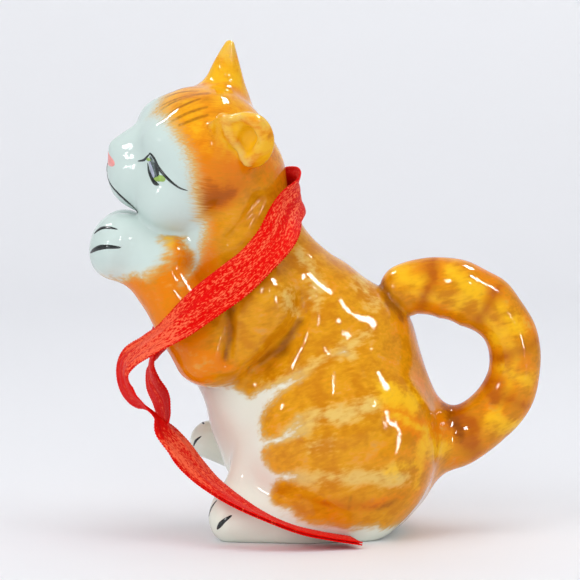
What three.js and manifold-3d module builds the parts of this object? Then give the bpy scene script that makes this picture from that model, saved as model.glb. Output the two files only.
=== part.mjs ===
// Hand-painted porcelain kitten ornament that sits up with raised forepaws, and its hanging ribbon.
// Millimetres, +Z up. The kitten faces -X, its left side is -Y, and it stands on Z = 0.
import * as THREE from 'three';
import { mergeVertices } from 'three/addons/utils/BufferGeometryUtils.js';
import Module from 'manifold-3d';

// Casting
const WALL = 2.4; // thickness of the cast shells
const SEAM = 0.3; // gap left between two castings that are luted together
const VENT_DIAMETER = 5; // firing vent through the base
const VENT_BACK = 6; // from the standing point back to the vent's axis
const NECK_BORE = 6; // passage from the body's hollow into the head's

// Trunk, as level rings from the base to the top of the neck, in shares of its three sizes;
// front and back are measured from the standing point
const TRUNK_HEIGHT = 63.5;
const TRUNK_LENGTH = 40;
const TRUNK_WIDTH = 29;
const TRUNK_RINGS = [
  { height: 0, front: -0.14, back: 0.29, width: 0.586 },
  { height: 0.055, front: -0.235, back: 0.36, width: 0.807 },
  { height: 0.118, front: -0.3, back: 0.43, width: 0.897 },
  { height: 0.189, front: -0.365, back: 0.485, width: 0.972 },
  { height: 0.268, front: -0.405, back: 0.505, width: 1 },
  { height: 0.362, front: -0.46, back: 0.49, width: 0.972 },
  { height: 0.441, front: -0.5, back: 0.465, width: 0.938 },
  { height: 0.512, front: -0.5, back: 0.425, width: 0.897 },
  { height: 0.567, front: -0.485, back: 0.38, width: 0.862 },
  { height: 0.614, front: -0.475, back: 0.3, width: 0.821 },
  { height: 0.661, front: -0.485, back: 0.19, width: 0.759 },
  { height: 0.709, front: -0.51, back: 0.07, width: 0.69 },
  { height: 0.772, front: -0.54, back: -0.035, width: 0.648 },
  { height: 0.866, front: -0.575, back: -0.1, width: 0.634 },
  { height: 0.929, front: -0.555, back: -0.14, width: 0.566 },
  { height: 0.976, front: -0.5, back: -0.2, width: 0.407 },
  { height: 1, front: -0.4375, back: -0.2625, width: 0.241 },
];
const DOME_LEVELS = 2; // rings of the neck's rounded end, above the hollow

// Head, in its own directions: forward along the nose, left, and up between the ears
const SKULL_LENGTH = 22;
const SKULL_WIDTH = 24.4;
const SKULL_HEIGHT = 21.8;
const SKULL_FROM_NECK = [-3.6, -1, -2.9]; // from the middle of the top of the neck
const HEAD_TURN = 10; // degrees towards the kitten's left
const HEAD_LIFT = 6; // degrees, nose up
const HEAD_ROLL = 27; // degrees, left ear down
const MUZZLE_LENGTH = 10;
const MUZZLE_WIDTH = 11.2;
const MUZZLE_HEIGHT = 8.8;
const MUZZLE_SINK = 0.8; // middle of the muzzle behind the front of the skull
const MUZZLE_DROP = 3.6; // middle of the muzzle below the middle of the skull
const BROW_DIAMETER = 7.2;
const BROW_SINK = 4;
const BROW_RISE = 2.5;
const NOSE_DIAMETER = 3.4;
const NOSE_PROUD = 2.4;
const NOSE_DROP = 0.6;
const CHEEK_LENGTH = 12.4;
const CHEEK_WIDTH = 10.4;
const CHEEK_HEIGHT = 10;
const CHEEK_FORWARD = 4.5;
const CHEEK_INSET = 5.4; // middle of a cheek inside the skull's side
const CHEEK_DROP = 5.2;

// Ears, from a root ball sunk in the skull to a rounded tip, in millimetres and degrees; the root lies
// forward of the skull's back, inset from its side and sunk below its crown, and looks is the way the
// hollow faces, from straight ahead towards its own side
const EARS = {
  left: {
    root: 9.2, tip: 4.4, height: 6.2, forward: 6.2, inset: 4.2, sink: 5.1, lean: 26, rake: 9, looks: 78,
  },
  right: {
    root: 8.4, tip: 1.8, height: 8.9, forward: 8.4, inset: 4.6, sink: 4.3, lean: 11, rake: 0, looks: 55,
  },
};
const EAR_LIP = 1.1; // thickness of the ear beside its hollow
const EAR_HOLLOW_DEPTH = 2.4; // how far the hollow bites into the ear

// Forelegs, alike on both sides; each place is given as X and Z from the middle of the top of the neck
const SHOULDER_DIAMETER = 14.8;
const SHOULDER_INSET = 4.6; // middle of the shoulder inside the chest's side
const SHOULDER = [5.4, -25.9];
const ELBOW_DIAMETER = 11.4;
const ELBOW_OUT = 0.9; // elbow beyond the middle of the shoulder
const ELBOW = [-2.2, -33.7];
const WRIST_DIAMETER = 9.6;
const WRIST_IN = 1.6; // wrist inside the middle of the shoulder
const WRIST = [-10.8, -20.3];
const PAW_DIAMETER = 10.4;
const PAW_GAP = 0.4; // between the two paws, which are held together
const PAW = [-16.2, -17.3];
const KNOB_DIAMETER = 6.2;
const KNOB = [-8.7, -18.7];

// Haunches and hind feet; a heel and a toe are given as X from the middle of the haunch and Z
const HAUNCH_LENGTH = 28;
const HAUNCH_WIDTH = 16;
const HAUNCH_HEIGHT = 30.4;
const HAUNCH_PROUD = 2.7; // how far a haunch stands out of the rump's side
const HAUNCH_FORWARD = 15.8; // middle of a haunch ahead of the rump's back
const HAUNCH_RISE = 14.5;
const HEEL_DIAMETER = 9.6;
const TOE_DIAMETER = 8.4;
const FOOT_OUT = 1.6; // heel beyond the middle of the haunch
const TOE_OUT = 1;
const HEELS = { left: [-6, 4], right: [-8, 9] };
const TOES = { left: [-16.6, 3.7], right: [-20.3, 12.6] };

// Tail, an arc that opens towards the back, with its root in the rump and its tip on the back
const TAIL_CURL_RADIUS = 11.6;
const TAIL_END_FLARE = 1.7; // how much wider the arc runs at its two ends
const TAIL_HALF_ARC = 118; // degrees from straight back to either end
const TAIL_CURL_BACK = 1.9; // middle of the curl behind the kitten's back
const TAIL_CURL_HEIGHT = 27.3;
const TAIL_ROOT = 12.4;
const TAIL_SLIM = 8.3;
const TAIL_SWELL = 10.3;
const TAIL_TIP = 8;
const TAIL_DOME = [30, 60, 85]; // degrees of the rings that round off the tip

// Ribbon, as points on its middle line and the way its face looks there: round the nape, down the
// left side, down the right side, and where both strands run down to the ground together
const RIBBON_WIDTH = 6;
const RIBBON_THICKNESS = 0.3;
const RIBBON_LAY = 0.3; // gap between the two strands where they lie together
const RIBBON_NAPE = [
  { at: [-6.9, 8.2, 53.5], face: [0.62, 0.78, 0.1] },
  { at: [-5.9, 7.2, 54.5], face: [0.7, 0.7, 0.1] },
  { at: [-4, 4.6, 55.4], face: [0.85, 0.5, 0.15] },
  { at: [-2.5, 0.4, 55.4], face: [0.97, 0.05, 0.22] },
  { at: [-2.2, -4.2, 54.2], face: [0.88, -0.42, 0.25] },
];
const RIBBON_LEFT = [
  { at: [-4, -8.2, 52.1], face: [0.7, -0.65, 0.28] },
  { at: [-5.9, -11.6, 48], face: [0.1, -0.82, 0.55] },
  { at: [-9.1, -13.9, 44.4], face: [-0.13, -0.8, 0.58] },
  { at: [-12.8, -15.4, 41.2], face: [-0.04, -0.95, 0.32] },
  { at: [-16.6, -15.6, 38.4], face: [-0.26, -0.92, 0.29] },
  { at: [-20.3, -15.1, 35.4], face: [-0.51, -0.78, 0.36] },
  { at: [-24.1, -13.4, 32.5], face: [-0.71, -0.47, 0.52] },
  { at: [-27.4, -10.2, 30.2], face: [-0.77, -0.39, 0.5] },
  { at: [-29.9, -8, 27.8], face: [-0.91, -0.36, 0.21] },
  { at: [-30.1, -6.4, 24.8], face: [-0.89, -0.38, -0.26] },
  { at: [-29, -6.2, 22.3], face: [-0.7, -0.45, -0.55] },
  { at: [-27, -6.4, 20.8], face: [-0.48, -0.62, -0.62] },
];
const RIBBON_RIGHT = [
  { at: [-7.1, 8.4, 53.3], face: [0.62, 0.78, 0.1] },
  { at: [-8.1, 9.4, 52.3], face: [0.5, 0.85, 0.15] },
  { at: [-9.9, 11.4, 49.6], face: [0.25, 0.9, 0.35] },
  { at: [-11.6, 13.5, 46.2], face: [0, 0.85, 0.5] },
  { at: [-13.8, 15.5, 42.4], face: [-0.15, 0.9, 0.4] },
  { at: [-17.2, 15.6, 38.2], face: [-0.15, 0.94, 0.3] },
  { at: [-20.8, 14.6, 34.6], face: [-0.25, 0.92, 0.25] },
  { at: [-24, 11.6, 31.8], face: [-0.6, 0.75, 0.2] },
  { at: [-25.8, 7.8, 29.8], face: [-0.85, 0.45, 0.2] },
  { at: [-26.3, 4.8, 27.5], face: [-0.94, -0.17, 0.3] },
  { at: [-26.4, 2.4, 24.8], face: [-0.93, -0.34, 0.12] },
  { at: [-25.3, 0.4, 22.6], face: [-0.89, -0.44, -0.1] },
  { at: [-24.2, -1.2, 20.7], face: [-0.81, -0.58, 0.1] },
  { at: [-23.8, -2.4, 18.7], face: [-0.67, -0.71, 0.21] },
  { at: [-23.1, -3.4, 16.6], face: [0.27, -0.71, 0.65] },
  { at: [-21.6, -5.6, 14.3], face: [0.3, -0.4, 0.86] },
];
const RIBBON_TOGETHER = [
  { at: [-24.8, -6.2, 19], face: [0.34, -0.85, 0.41] },
  { at: [-23.2, -6.8, 16.8], face: [0.56, -0.53, 0.64] },
  { at: [-21.5, -7.8, 14.9], face: [0.53, -0.46, 0.71] },
  { at: [-19.6, -9.2, 12.7], face: [0.44, -0.42, 0.8] },
  { at: [-17.3, -11.8, 10.5], face: [0.35, -0.34, 0.87] },
  { at: [-14.4, -14.6, 8.5], face: [0.32, -0.27, 0.91] },
  { at: [-10.8, -17.4, 6.5], face: [0.32, -0.23, 0.92] },
  { at: [-6.8, -18.9, 4.7], face: [0.35, -0.18, 0.92] },
  { at: [-2.6, -18.9, 3.1], face: [0.31, -0.12, 0.94] },
  { at: [1.9, -17.8, 2], face: [0.24, -0.09, 0.97] },
  { at: [6.4, -16.4, 1.1], face: [0.2, -0.05, 0.98] },
];
const RIBBON_JOINS = 3; // stops of the shared stretch before the right strand lies under the left one

// Facets
const ROUND = 16; // facets round a ball or a limb
const RINGS = 10; // facets from pole to pole of a ball
const HOLLOW_ROUND = 12; // facets round the hollow, where nothing shows
const HOLLOW_RINGS = 8;
const TRUNK_SIDES = 24;
const TAIL_STEPS = 18;
const TAIL_SIDES = 12;
const STRAND_STEPS = 80;
const STRAND_TOP = 2; // upper side of a strand, split like its lower side, so that the two never cross
const BEYOND = 100; // reach of a cutting block past the figure

const GLAZE_ORANGE = new THREE.MeshStandardMaterial({ color: 0xe8921e, roughness: 0.08, metalness: 0 });
const GLAZE_WHITE = new THREE.MeshStandardMaterial({ color: 0xeef0ee, roughness: 0.08, metalness: 0 });
const RED_SATIN = new THREE.MeshStandardMaterial({ color: 0xd8140f, roughness: 0.45, metalness: 0 });

const wasm = await Module();
wasm.setup();

// Solids
function solidFrom(geometry) {
  geometry.deleteAttribute('normal');
  geometry.deleteAttribute('uv');
  const merged = mergeVertices(geometry, 1e-4);
  const vertProperties = new Float32Array(merged.attributes.position.array);
  const triVerts = new Uint32Array(merged.index.array);
  return new wasm.Manifold(new wasm.Mesh({ numProp: 3, vertProperties, triVerts }));
}

function join(solids) {
  return solids.reduce((whole, piece) => whole.add(piece));
}

function cut(solid, cutters) {
  return cutters.reduce((rest, cutter) => rest.subtract(cutter), solid);
}

function meshFrom(name, solid, material) {
  const { vertProperties, triVerts } = solid.getMesh();
  const geometry = new THREE.BufferGeometry();
  geometry.setAttribute('position', new THREE.BufferAttribute(new Float32Array(vertProperties), 3));
  geometry.setIndex(new THREE.BufferAttribute(new Uint32Array(triVerts), 1));
  geometry.computeVertexNormals();
  const mesh = new THREE.Mesh(geometry, material);
  mesh.name = name;
  return mesh;
}

// An ellipsoid of the given length, width and height, made larger or smaller all round by grow
function ball(centre, sizes, grow, turn = new THREE.Matrix4(), fine = grow >= 0) {
  const geometry = new THREE.SphereGeometry(1, fine ? ROUND : HOLLOW_ROUND, fine ? RINGS : HOLLOW_RINGS);
  geometry.scale(...sizes.map((size) => size / 2 + grow));
  geometry.applyMatrix4(turn);
  geometry.translate(...centre);
  return solidFrom(geometry);
}

// A tapered limb: two balls and the cone that touches both
function limb(start, startDiameter, end, endDiameter, grow, fine = grow >= 0) {
  const from = new THREE.Vector3(...start);
  const along = new THREE.Vector3(...end).sub(from);
  const length = along.length();
  const startRadius = startDiameter / 2 + grow;
  const endRadius = endDiameter / 2 + grow;
  const touch = Math.asin((startRadius - endRadius) / length);
  const steps = (fine ? RINGS : HOLLOW_RINGS) / 2;
  const profile = [];
  for (let i = 0; i <= steps; i += 1) {
    const angle = THREE.MathUtils.lerp(-Math.PI / 2, touch, i / steps);
    profile.push(new THREE.Vector2(startRadius * Math.cos(angle), startRadius * Math.sin(angle)));
  }
  for (let i = 0; i <= steps; i += 1) {
    const angle = THREE.MathUtils.lerp(touch, Math.PI / 2, i / steps);
    profile.push(new THREE.Vector2(endRadius * Math.cos(angle), length + endRadius * Math.sin(angle)));
  }
  profile[0].x = 0;
  profile[profile.length - 1].x = 0;
  const geometry = new THREE.LatheGeometry(profile, fine ? ROUND : HOLLOW_ROUND);
  const up = new THREE.Vector3(0, 1, 0);
  geometry.applyQuaternion(new THREE.Quaternion().setFromUnitVectors(up, along.normalize()));
  geometry.translate(...start);
  return solidFrom(geometry);
}

function blockAbove(height) {
  const geometry = new THREE.BoxGeometry(2 * BEYOND, 2 * BEYOND, BEYOND);
  geometry.translate(0, 0, height + BEYOND / 2);
  return solidFrom(geometry);
}

// A closed skin over a row of rings that all have the same number of points; the turned side's faces
// are split along their other diagonal
function skin(rings, turned) {
  const sides = rings[0].length;
  const points = rings.flat();
  const index = [];
  for (let i = 0; i + 1 < rings.length; i += 1) {
    for (let j = 0; j < sides; j += 1) {
      const here = i * sides + j;
      const next = i * sides + (j + 1) % sides;
      if (j === turned) {
        index.push(here, next, here + sides, next, next + sides, here + sides);
      } else {
        index.push(here, next, next + sides, here, next + sides, here + sides);
      }
    }
  }
  const last = (rings.length - 1) * sides;
  for (let j = 1; j + 1 < sides; j += 1) {
    index.push(0, j + 1, j);
    index.push(last, last + j, last + j + 1);
  }
  const geometry = new THREE.BufferGeometry().setFromPoints(points);
  geometry.setIndex(index);
  return solidFrom(geometry);
}

// Trunk
const TRUNK = TRUNK_RINGS.map((ring) => ({
  height: ring.height * TRUNK_HEIGHT,
  front: ring.front * TRUNK_LENGTH,
  back: ring.back * TRUNK_LENGTH,
  width: ring.width * TRUNK_WIDTH,
}));

function trunkForm(levels, grow) {
  const last = levels.length - 1;
  const rings = levels.map((level, i) => {
    const rise = { 0: -grow, [last]: grow }[i] ?? 0;
    const front = level.front - grow * slant(levels, i, 'front');
    const back = level.back + grow * slant(levels, i, 'back');
    const width = level.width + 2 * grow * slant(levels, i, 'width');
    return levelRing((front + back) / 2, level.height + rise, (back - front) / 2, width / 2);
  });
  return skin(rings);
}

// How much further a slanting side moves sideways than it moves square to itself
function slant(levels, i, key) {
  const low = levels[Math.max(i - 1, 0)];
  const high = levels[Math.min(i + 1, levels.length - 1)];
  const sides = key === 'width' ? 2 : 1;
  return Math.hypot(1, (high[key] - low[key]) / sides / (high.height - low.height));
}

function levelRing(middle, height, halfLength, halfWidth) {
  const ring = [];
  for (let j = 0; j < TRUNK_SIDES; j += 1) {
    const angle = 2 * Math.PI * j / TRUNK_SIDES;
    const x = middle + halfLength * Math.cos(angle);
    ring.push(new THREE.Vector3(x, halfWidth * Math.sin(angle), height));
  }
  return ring;
}

// The trunk's front, back and width at any height
function trunkAt(height) {
  const above = TRUNK.findIndex((level, i) => i > 0 && level.height >= height);
  const [low, high] = [TRUNK[above - 1], TRUNK[above]];
  const share = (height - low.height) / (high.height - low.height);
  const between = (key) => THREE.MathUtils.lerp(low[key], high[key], share);
  return { front: between('front'), back: between('back'), width: between('width') };
}

function drilling(diameter, x, low, high) {
  const geometry = new THREE.CylinderGeometry(diameter / 2, diameter / 2, high - low, ROUND);
  geometry.rotateX(Math.PI / 2);
  geometry.translate(x, 0, (low + high) / 2);
  return solidFrom(geometry);
}

const trunk = trunkForm(TRUNK, 0);
const trunkSeam = trunkForm(TRUNK, SEAM);
const ground = blockAbove(0);
const topLevel = TRUNK[TRUNK.length - 1];
const neckTop = [(topLevel.front + topLevel.back) / 2, 0, topLevel.height];

function bodyShell() {
  const hollowLevels = TRUNK.slice(0, -DOME_LEVELS);
  const hollowTop = hollowLevels[hollowLevels.length - 1].height - WALL;
  const vent = drilling(VENT_DIAMETER, VENT_BACK, -WALL, 2 * WALL);
  const bore = drilling(NECK_BORE, neckTop[0], hollowTop - WALL, neckTop[2] + WALL);
  return cut(trunk, [trunkForm(hollowLevels, -WALL), vent, bore]);
}

// Head
const skullCentre = new THREE.Vector3(...neckTop).add(new THREE.Vector3(...SKULL_FROM_NECK));
const headTurn = new THREE.Matrix4().makeRotationZ(THREE.MathUtils.degToRad(HEAD_TURN));
headTurn.multiply(new THREE.Matrix4().makeRotationY(THREE.MathUtils.degToRad(HEAD_LIFT)));
headTurn.multiply(new THREE.Matrix4().makeRotationX(THREE.MathUtils.degToRad(HEAD_ROLL)));

// A place on the head: forward along the nose, left and up from the middle of the skull
function onHead(forward, left, up) {
  return new THREE.Vector3(-forward, -left, up).applyMatrix4(headTurn).add(skullCentre).toArray();
}

function headForms(grow) {
  const front = SKULL_LENGTH / 2;
  const cheekOut = SKULL_WIDTH / 2 - CHEEK_INSET;
  const cheek = [CHEEK_LENGTH, CHEEK_WIDTH, CHEEK_HEIGHT];
  const brow = onHead(front - BROW_SINK, 0, BROW_RISE);
  const nose = onHead(front + NOSE_PROUD, 0, -NOSE_DROP);
  const muzzle = onHead(front - MUZZLE_SINK, 0, -MUZZLE_DROP);
  return [
    ball(skullCentre.toArray(), [SKULL_LENGTH, SKULL_WIDTH, SKULL_HEIGHT], grow, headTurn),
    ball(muzzle, [MUZZLE_LENGTH, MUZZLE_WIDTH, MUZZLE_HEIGHT], grow, headTurn),
    limb(brow, BROW_DIAMETER, nose, NOSE_DIAMETER, grow),
    ball(onHead(CHEEK_FORWARD, cheekOut, -CHEEK_DROP), cheek, grow, headTurn),
    ball(onHead(CHEEK_FORWARD, -cheekOut, -CHEEK_DROP), cheek, grow, headTurn),
  ];
}

const head = join(headForms(0));
const headSeam = join(headForms(SEAM));

function headShell() {
  const hollow = ball(skullCentre.toArray(), [SKULL_LENGTH, SKULL_WIDTH, SKULL_HEIGHT], -WALL, headTurn);
  return cut(head, [hollow, trunkSeam]);
}

function ear(side) {
  const size = EARS[side];
  const out = side === 'left' ? 1 : -1;
  const lean = THREE.MathUtils.degToRad(size.lean);
  const rake = THREE.MathUtils.degToRad(size.rake);
  const look = THREE.MathUtils.degToRad(size.looks);
  const rootOut = SKULL_WIDTH / 2 - size.inset;
  const rootUp = SKULL_HEIGHT / 2 - size.sink;
  const rootBack = SKULL_LENGTH / 2 - size.forward;
  const tipBack = rootBack + size.height * Math.sin(rake);
  const tipOut = rootOut + size.height * Math.sin(lean);
  const tipUp = rootUp + size.height * Math.cos(lean) * Math.cos(rake);
  const hollowRoot = size.root - 2 * EAR_LIP;
  const hollowTip = Math.max(size.tip - 2 * EAR_LIP, EAR_LIP);
  const shift = (size.root + hollowRoot) / 2 - EAR_HOLLOW_DEPTH;
  const ahead = shift * Math.cos(look);
  const aside = shift * Math.sin(look);
  const root = onHead(-rootBack, out * rootOut, rootUp);
  const tip = onHead(-tipBack, out * tipOut, tipUp);
  const hollowFoot = onHead(ahead - rootBack, out * (rootOut + aside), rootUp);
  const hollowTop = onHead(ahead - tipBack, out * (tipOut + aside), tipUp);
  const horn = limb(root, size.root, tip, size.tip, 0);
  const hollow = limb(hollowFoot, hollowRoot, hollowTop, hollowTip, 0);
  return cut(horn, [headSeam, trunkSeam, hollow]);
}

// Legs
const sideSign = { left: -1, right: 1 };
const shoulderOut = trunkAt(neckTop[2] + SHOULDER[1]).width / 2 - SHOULDER_INSET;
const rump = trunkAt(HAUNCH_RISE);
const haunchOut = (rump.width - HAUNCH_WIDTH) / 2 + HAUNCH_PROUD;
const haunchX = rump.back - HAUNCH_FORWARD;

// A place beside the kitten, given its X and Z and how far out it lies on that side
function beside(side, [x, z], out) {
  return [x, sideSign[side] * out, z];
}

function belowNeck(side, [x, z], out) {
  return beside(side, [neckTop[0] + x, neckTop[2] + z], out);
}

function forelegForm(side, grow) {
  const shoulder = belowNeck(side, SHOULDER, shoulderOut);
  const elbow = belowNeck(side, ELBOW, shoulderOut + ELBOW_OUT);
  const wrist = belowNeck(side, WRIST, shoulderOut - WRIST_IN);
  const paw = belowNeck(side, PAW, (PAW_DIAMETER + PAW_GAP) / 2);
  const knob = belowNeck(side, KNOB, shoulderOut);
  return join([
    limb(shoulder, SHOULDER_DIAMETER, elbow, ELBOW_DIAMETER, grow),
    limb(elbow, ELBOW_DIAMETER, wrist, WRIST_DIAMETER, grow),
    limb(wrist, WRIST_DIAMETER, paw, PAW_DIAMETER, grow),
    ball(knob, [KNOB_DIAMETER, KNOB_DIAMETER, KNOB_DIAMETER], grow),
  ]);
}

function foreleg(side) {
  return cut(forelegForm(side, 0), [trunkSeam, headSeam]);
}

function haunchForm(side, grow) {
  const sizes = [HAUNCH_LENGTH, HAUNCH_WIDTH, HAUNCH_HEIGHT];
  return ball(beside(side, [haunchX, HAUNCH_RISE], haunchOut), sizes, grow);
}

function haunch(side) {
  return cut(haunchForm(side, 0).intersect(ground), [trunkSeam, forelegForm(side, SEAM)]);
}

function hindFoot(side) {
  const [heelX, heelZ] = HEELS[side];
  const [toeX, toeZ] = TOES[side];
  const heel = beside(side, [haunchX + heelX, heelZ], haunchOut + FOOT_OUT);
  const toe = beside(side, [haunchX + toeX, toeZ], haunchOut + TOE_OUT);
  const foot = limb(heel, HEEL_DIAMETER, toe, TOE_DIAMETER, 0).intersect(ground);
  return cut(foot, [trunkSeam, haunchForm(side, SEAM), forelegForm(side, SEAM)]);
}

// Tail
function tail() {
  const middle = [trunkAt(TAIL_CURL_HEIGHT).back + TAIL_CURL_BACK, 0, TAIL_CURL_HEIGHT];
  const widths = new THREE.SplineCurve(
    [TAIL_ROOT, TAIL_SLIM, TAIL_SLIM, TAIL_SWELL, TAIL_TIP].map((width, i) => new THREE.Vector2(i, width)),
  );
  const rings = [];
  for (let i = 0; i <= TAIL_STEPS; i += 1) {
    const share = i / TAIL_STEPS;
    const swing = 2 * share - 1;
    const angle = THREE.MathUtils.degToRad(TAIL_HALF_ARC * swing);
    const reach = TAIL_CURL_RADIUS + TAIL_END_FLARE * swing ** 4;
    rings.push(tailRing(middle, angle, reach, widths.getPoint(share).y / 2));
  }
  const tipRadius = TAIL_TIP / 2;
  const tipReach = TAIL_CURL_RADIUS + TAIL_END_FLARE;
  for (const dome of TAIL_DOME) {
    const slope = THREE.MathUtils.degToRad(dome);
    const angle = THREE.MathUtils.degToRad(TAIL_HALF_ARC) + tipRadius * Math.sin(slope) / tipReach;
    rings.push(tailRing(middle, angle, tipReach, tipRadius * Math.cos(slope)));
  }
  return cut(skin(rings), [trunkSeam]);
}

function tailRing(middle, angle, reach, radius) {
  const ring = [];
  for (let j = 0; j < TAIL_SIDES; j += 1) {
    const around = 2 * Math.PI * j / TAIL_SIDES;
    const distance = reach + radius * Math.cos(around);
    const x = middle[0] + distance * Math.cos(angle);
    const z = middle[2] + distance * Math.sin(angle);
    ring.push(new THREE.Vector3(x, middle[1] + radius * Math.sin(around), z));
  }
  return ring;
}

// Ribbon
function strand(stops) {
  const route = new THREE.CatmullRomCurve3(stops.map((stop) => new THREE.Vector3(...stop.at)));
  const faces = new THREE.CatmullRomCurve3(stops.map((stop) => new THREE.Vector3(...stop.face)));
  const rings = [];
  for (let i = 0; i <= STRAND_STEPS; i += 1) {
    const share = i / STRAND_STEPS;
    const middle = route.getPoint(share);
    const along = route.getTangent(share);
    const face = faces.getPoint(share).projectOnPlane(along).normalize();
    const across = new THREE.Vector3().crossVectors(face, along);
    const corner = (a, b) => middle.clone()
      .addScaledVector(across, a * RIBBON_WIDTH / 2)
      .addScaledVector(face, b * RIBBON_THICKNESS / 2);
    rings.push([corner(-1, -1), corner(1, -1), corner(1, 1), corner(-1, 1)]);
  }
  return skin(rings, STRAND_TOP);
}

// The right strand lies behind the left one where they run together
function underneath(stop) {
  const face = new THREE.Vector3(...stop.face).normalize();
  const at = new THREE.Vector3(...stop.at).addScaledVector(face, -RIBBON_THICKNESS - RIBBON_LAY);
  return { at: at.toArray(), face: stop.face };
}

const leftStrand = strand([...RIBBON_NAPE, ...RIBBON_LEFT, ...RIBBON_TOGETHER]);
const rightStrand = strand([...RIBBON_RIGHT, ...RIBBON_TOGETHER.slice(RIBBON_JOINS).map(underneath)]);

const figure = new THREE.Group();
figure.add(meshFrom('body_shell', bodyShell(), GLAZE_ORANGE));
figure.add(meshFrom('head_shell', headShell(), GLAZE_ORANGE));
for (const side of ['left', 'right']) {
  figure.add(meshFrom(`${side}_ear`, ear(side), GLAZE_ORANGE));
  figure.add(meshFrom(`${side}_foreleg`, foreleg(side), GLAZE_ORANGE));
  figure.add(meshFrom(`${side}_haunch`, haunch(side), GLAZE_ORANGE));
  figure.add(meshFrom(`${side}_hind_foot`, hindFoot(side), GLAZE_WHITE));
}
figure.add(meshFrom('tail', tail(), GLAZE_ORANGE));

const ribbon = new THREE.Group();
ribbon.add(meshFrom('ribbon_left_strand', leftStrand, RED_SATIN));
ribbon.add(meshFrom('ribbon_right_strand', rightStrand, RED_SATIN));

const ornament = new THREE.Group();
ornament.add(figure, ribbon);

export default ornament;
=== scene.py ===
"""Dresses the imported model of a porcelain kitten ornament: one glazed figure with a hand-painted tabby coat,
its face and claws drawn in dark enamel, a red satin ribbon in two strands, and a plain pale stage."""
import math
from collections import namedtuple

import bpy
import numpy as np
from mathutils import Matrix, Vector


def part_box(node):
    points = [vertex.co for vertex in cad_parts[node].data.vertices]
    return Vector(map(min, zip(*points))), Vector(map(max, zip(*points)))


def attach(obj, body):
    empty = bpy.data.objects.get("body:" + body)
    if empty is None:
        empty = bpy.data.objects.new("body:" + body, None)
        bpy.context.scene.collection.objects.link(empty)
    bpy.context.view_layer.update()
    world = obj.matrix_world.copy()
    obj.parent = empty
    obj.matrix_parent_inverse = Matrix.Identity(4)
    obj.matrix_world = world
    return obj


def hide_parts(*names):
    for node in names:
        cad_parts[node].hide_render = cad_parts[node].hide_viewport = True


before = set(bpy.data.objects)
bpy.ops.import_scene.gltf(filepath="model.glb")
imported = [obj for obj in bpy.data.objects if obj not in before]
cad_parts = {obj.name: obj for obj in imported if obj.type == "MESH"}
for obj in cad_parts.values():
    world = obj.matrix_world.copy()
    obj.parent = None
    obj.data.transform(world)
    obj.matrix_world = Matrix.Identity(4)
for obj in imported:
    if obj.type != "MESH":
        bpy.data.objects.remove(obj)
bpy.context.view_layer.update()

bl_info = {
    "name": "Porcelain kitten ornament",
    "version": (1, 0, 0),
    "blender": (4, 5, 0),
    "location": "3D View > Sidebar > Kitten",
    "description": "Makes a glazed porcelain kitten with a satin ribbon, and a stage for it",
    "category": "Object",
}

MM = 0.001
# The figure is measured on a grid: its margin round the castings in millimetres, and its rows under ground
GRID_MARGIN, GRID_UNDER = 2, 2.5
CASTINGS = [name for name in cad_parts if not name.startswith("ribbon")]

# Forms that the figure is modelled from, in millimetres. An egg is an ellipsoid, a limb is two balls and the
# cone that touches both, and melt is the width of the fillet where a form joins the forms before it.
Egg = namedtuple("Egg", "at radii melt")
Limb = namedtuple("Limb", "start start_radius end end_radius melt")

TRUNK = (
    Egg((5.5, 0, 15.5), (15.5, 14.0, 16.5), 0),
    Egg((2.2, 0, 28.5), (14.6, 12.8, 13.5), 4),
    Egg((-5.0, 0, 36.0), (12.0, 12.0, 11.0), 4),
    Egg((2.5, 0, 4.5), (11.5, 12.0, 6.0), 3),
    Limb((-9.5, 0, 42), 9.6, (-14.0, -0.5, 55), 9.2, 4),
    Limb((-11.2, 0, 30), 9.2, (-5, 0, 15), 10.2, 3),
    Egg((-17.0, 0, 46.5), (6.8, 8.8, 7.5), 3),
)
# The legs are alike on both sides, so they are measured with Y as the distance from the middle
HAUNCH = (Egg((4.0, 9.0, 14.5), (14.0, 8.0, 15.2), 0),)
FORELEG = (
    Limb((-8.6, 7.6, 37.6), 7.4, (-14.5, 8.4, 30.0), 5.4, 0),
    Limb((-16.6, 8.6, 29.8), 5.7, (-25.0, 6.0, 42.8), 4.9, 1.2),
    Limb((-25.0, 5.8, 44.6), 4.0, (-30.3, 5.0, 46.0), 5.5, 2.5),
    Egg((-22.7, 7.8, 44.8), (3.1, 3.0, 3.2), 0.8),
    Egg((-10.8, 9.4, 31.0), (4.2, 4.6, 4.2), 1.5),
)
LEFT_FOOT = (
    Limb((-2, -10.6, 4.0), 4.8, (-12.6, -10.0, 3.7), 4.2, 0),
    Limb((-11.6, -9.0, 6.0), 3.2, (-8.2, -7.0, 13.6), 3.9, 2.5),
)
RIGHT_FOOT = (Limb((-4, 9.5, 10.0), 4.4, (-17.0, 8.6, 13.7), 3.1, 0),)

# The head is measured from the middle of the skull: forward along the nose, left, and up between the ears
HEAD_MIDDLE = (-17.6, -1.0, 60.6)
HEAD_TURN, HEAD_LIFT, HEAD_ROLL = 10, 6, 27
SKULL = (
    Egg((0, 0, 0), (11.0, 12.2, 10.9), 0),
    Egg((10.2, 0, -3.6), (5.0, 5.6, 4.4), 3.0),
    Limb((7, 0, 2.5), 3.6, (13.4, 0, -0.6), 1.7, 2.0),
    Egg((4.5, 6.8, -5.2), (6.2, 5.2, 5.0), 3.0),
    Egg((8.8, 2.0, -6.0), (4.4, 4.2, 3.5), 2.0),
    Egg((6.8, 3.8, 3.4), (3.6, 3.6, 3.2), 2.0),
    Egg((-6.2, 0, -3.6), (7.4, 9.2, 7.4), 3.0),
)
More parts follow.
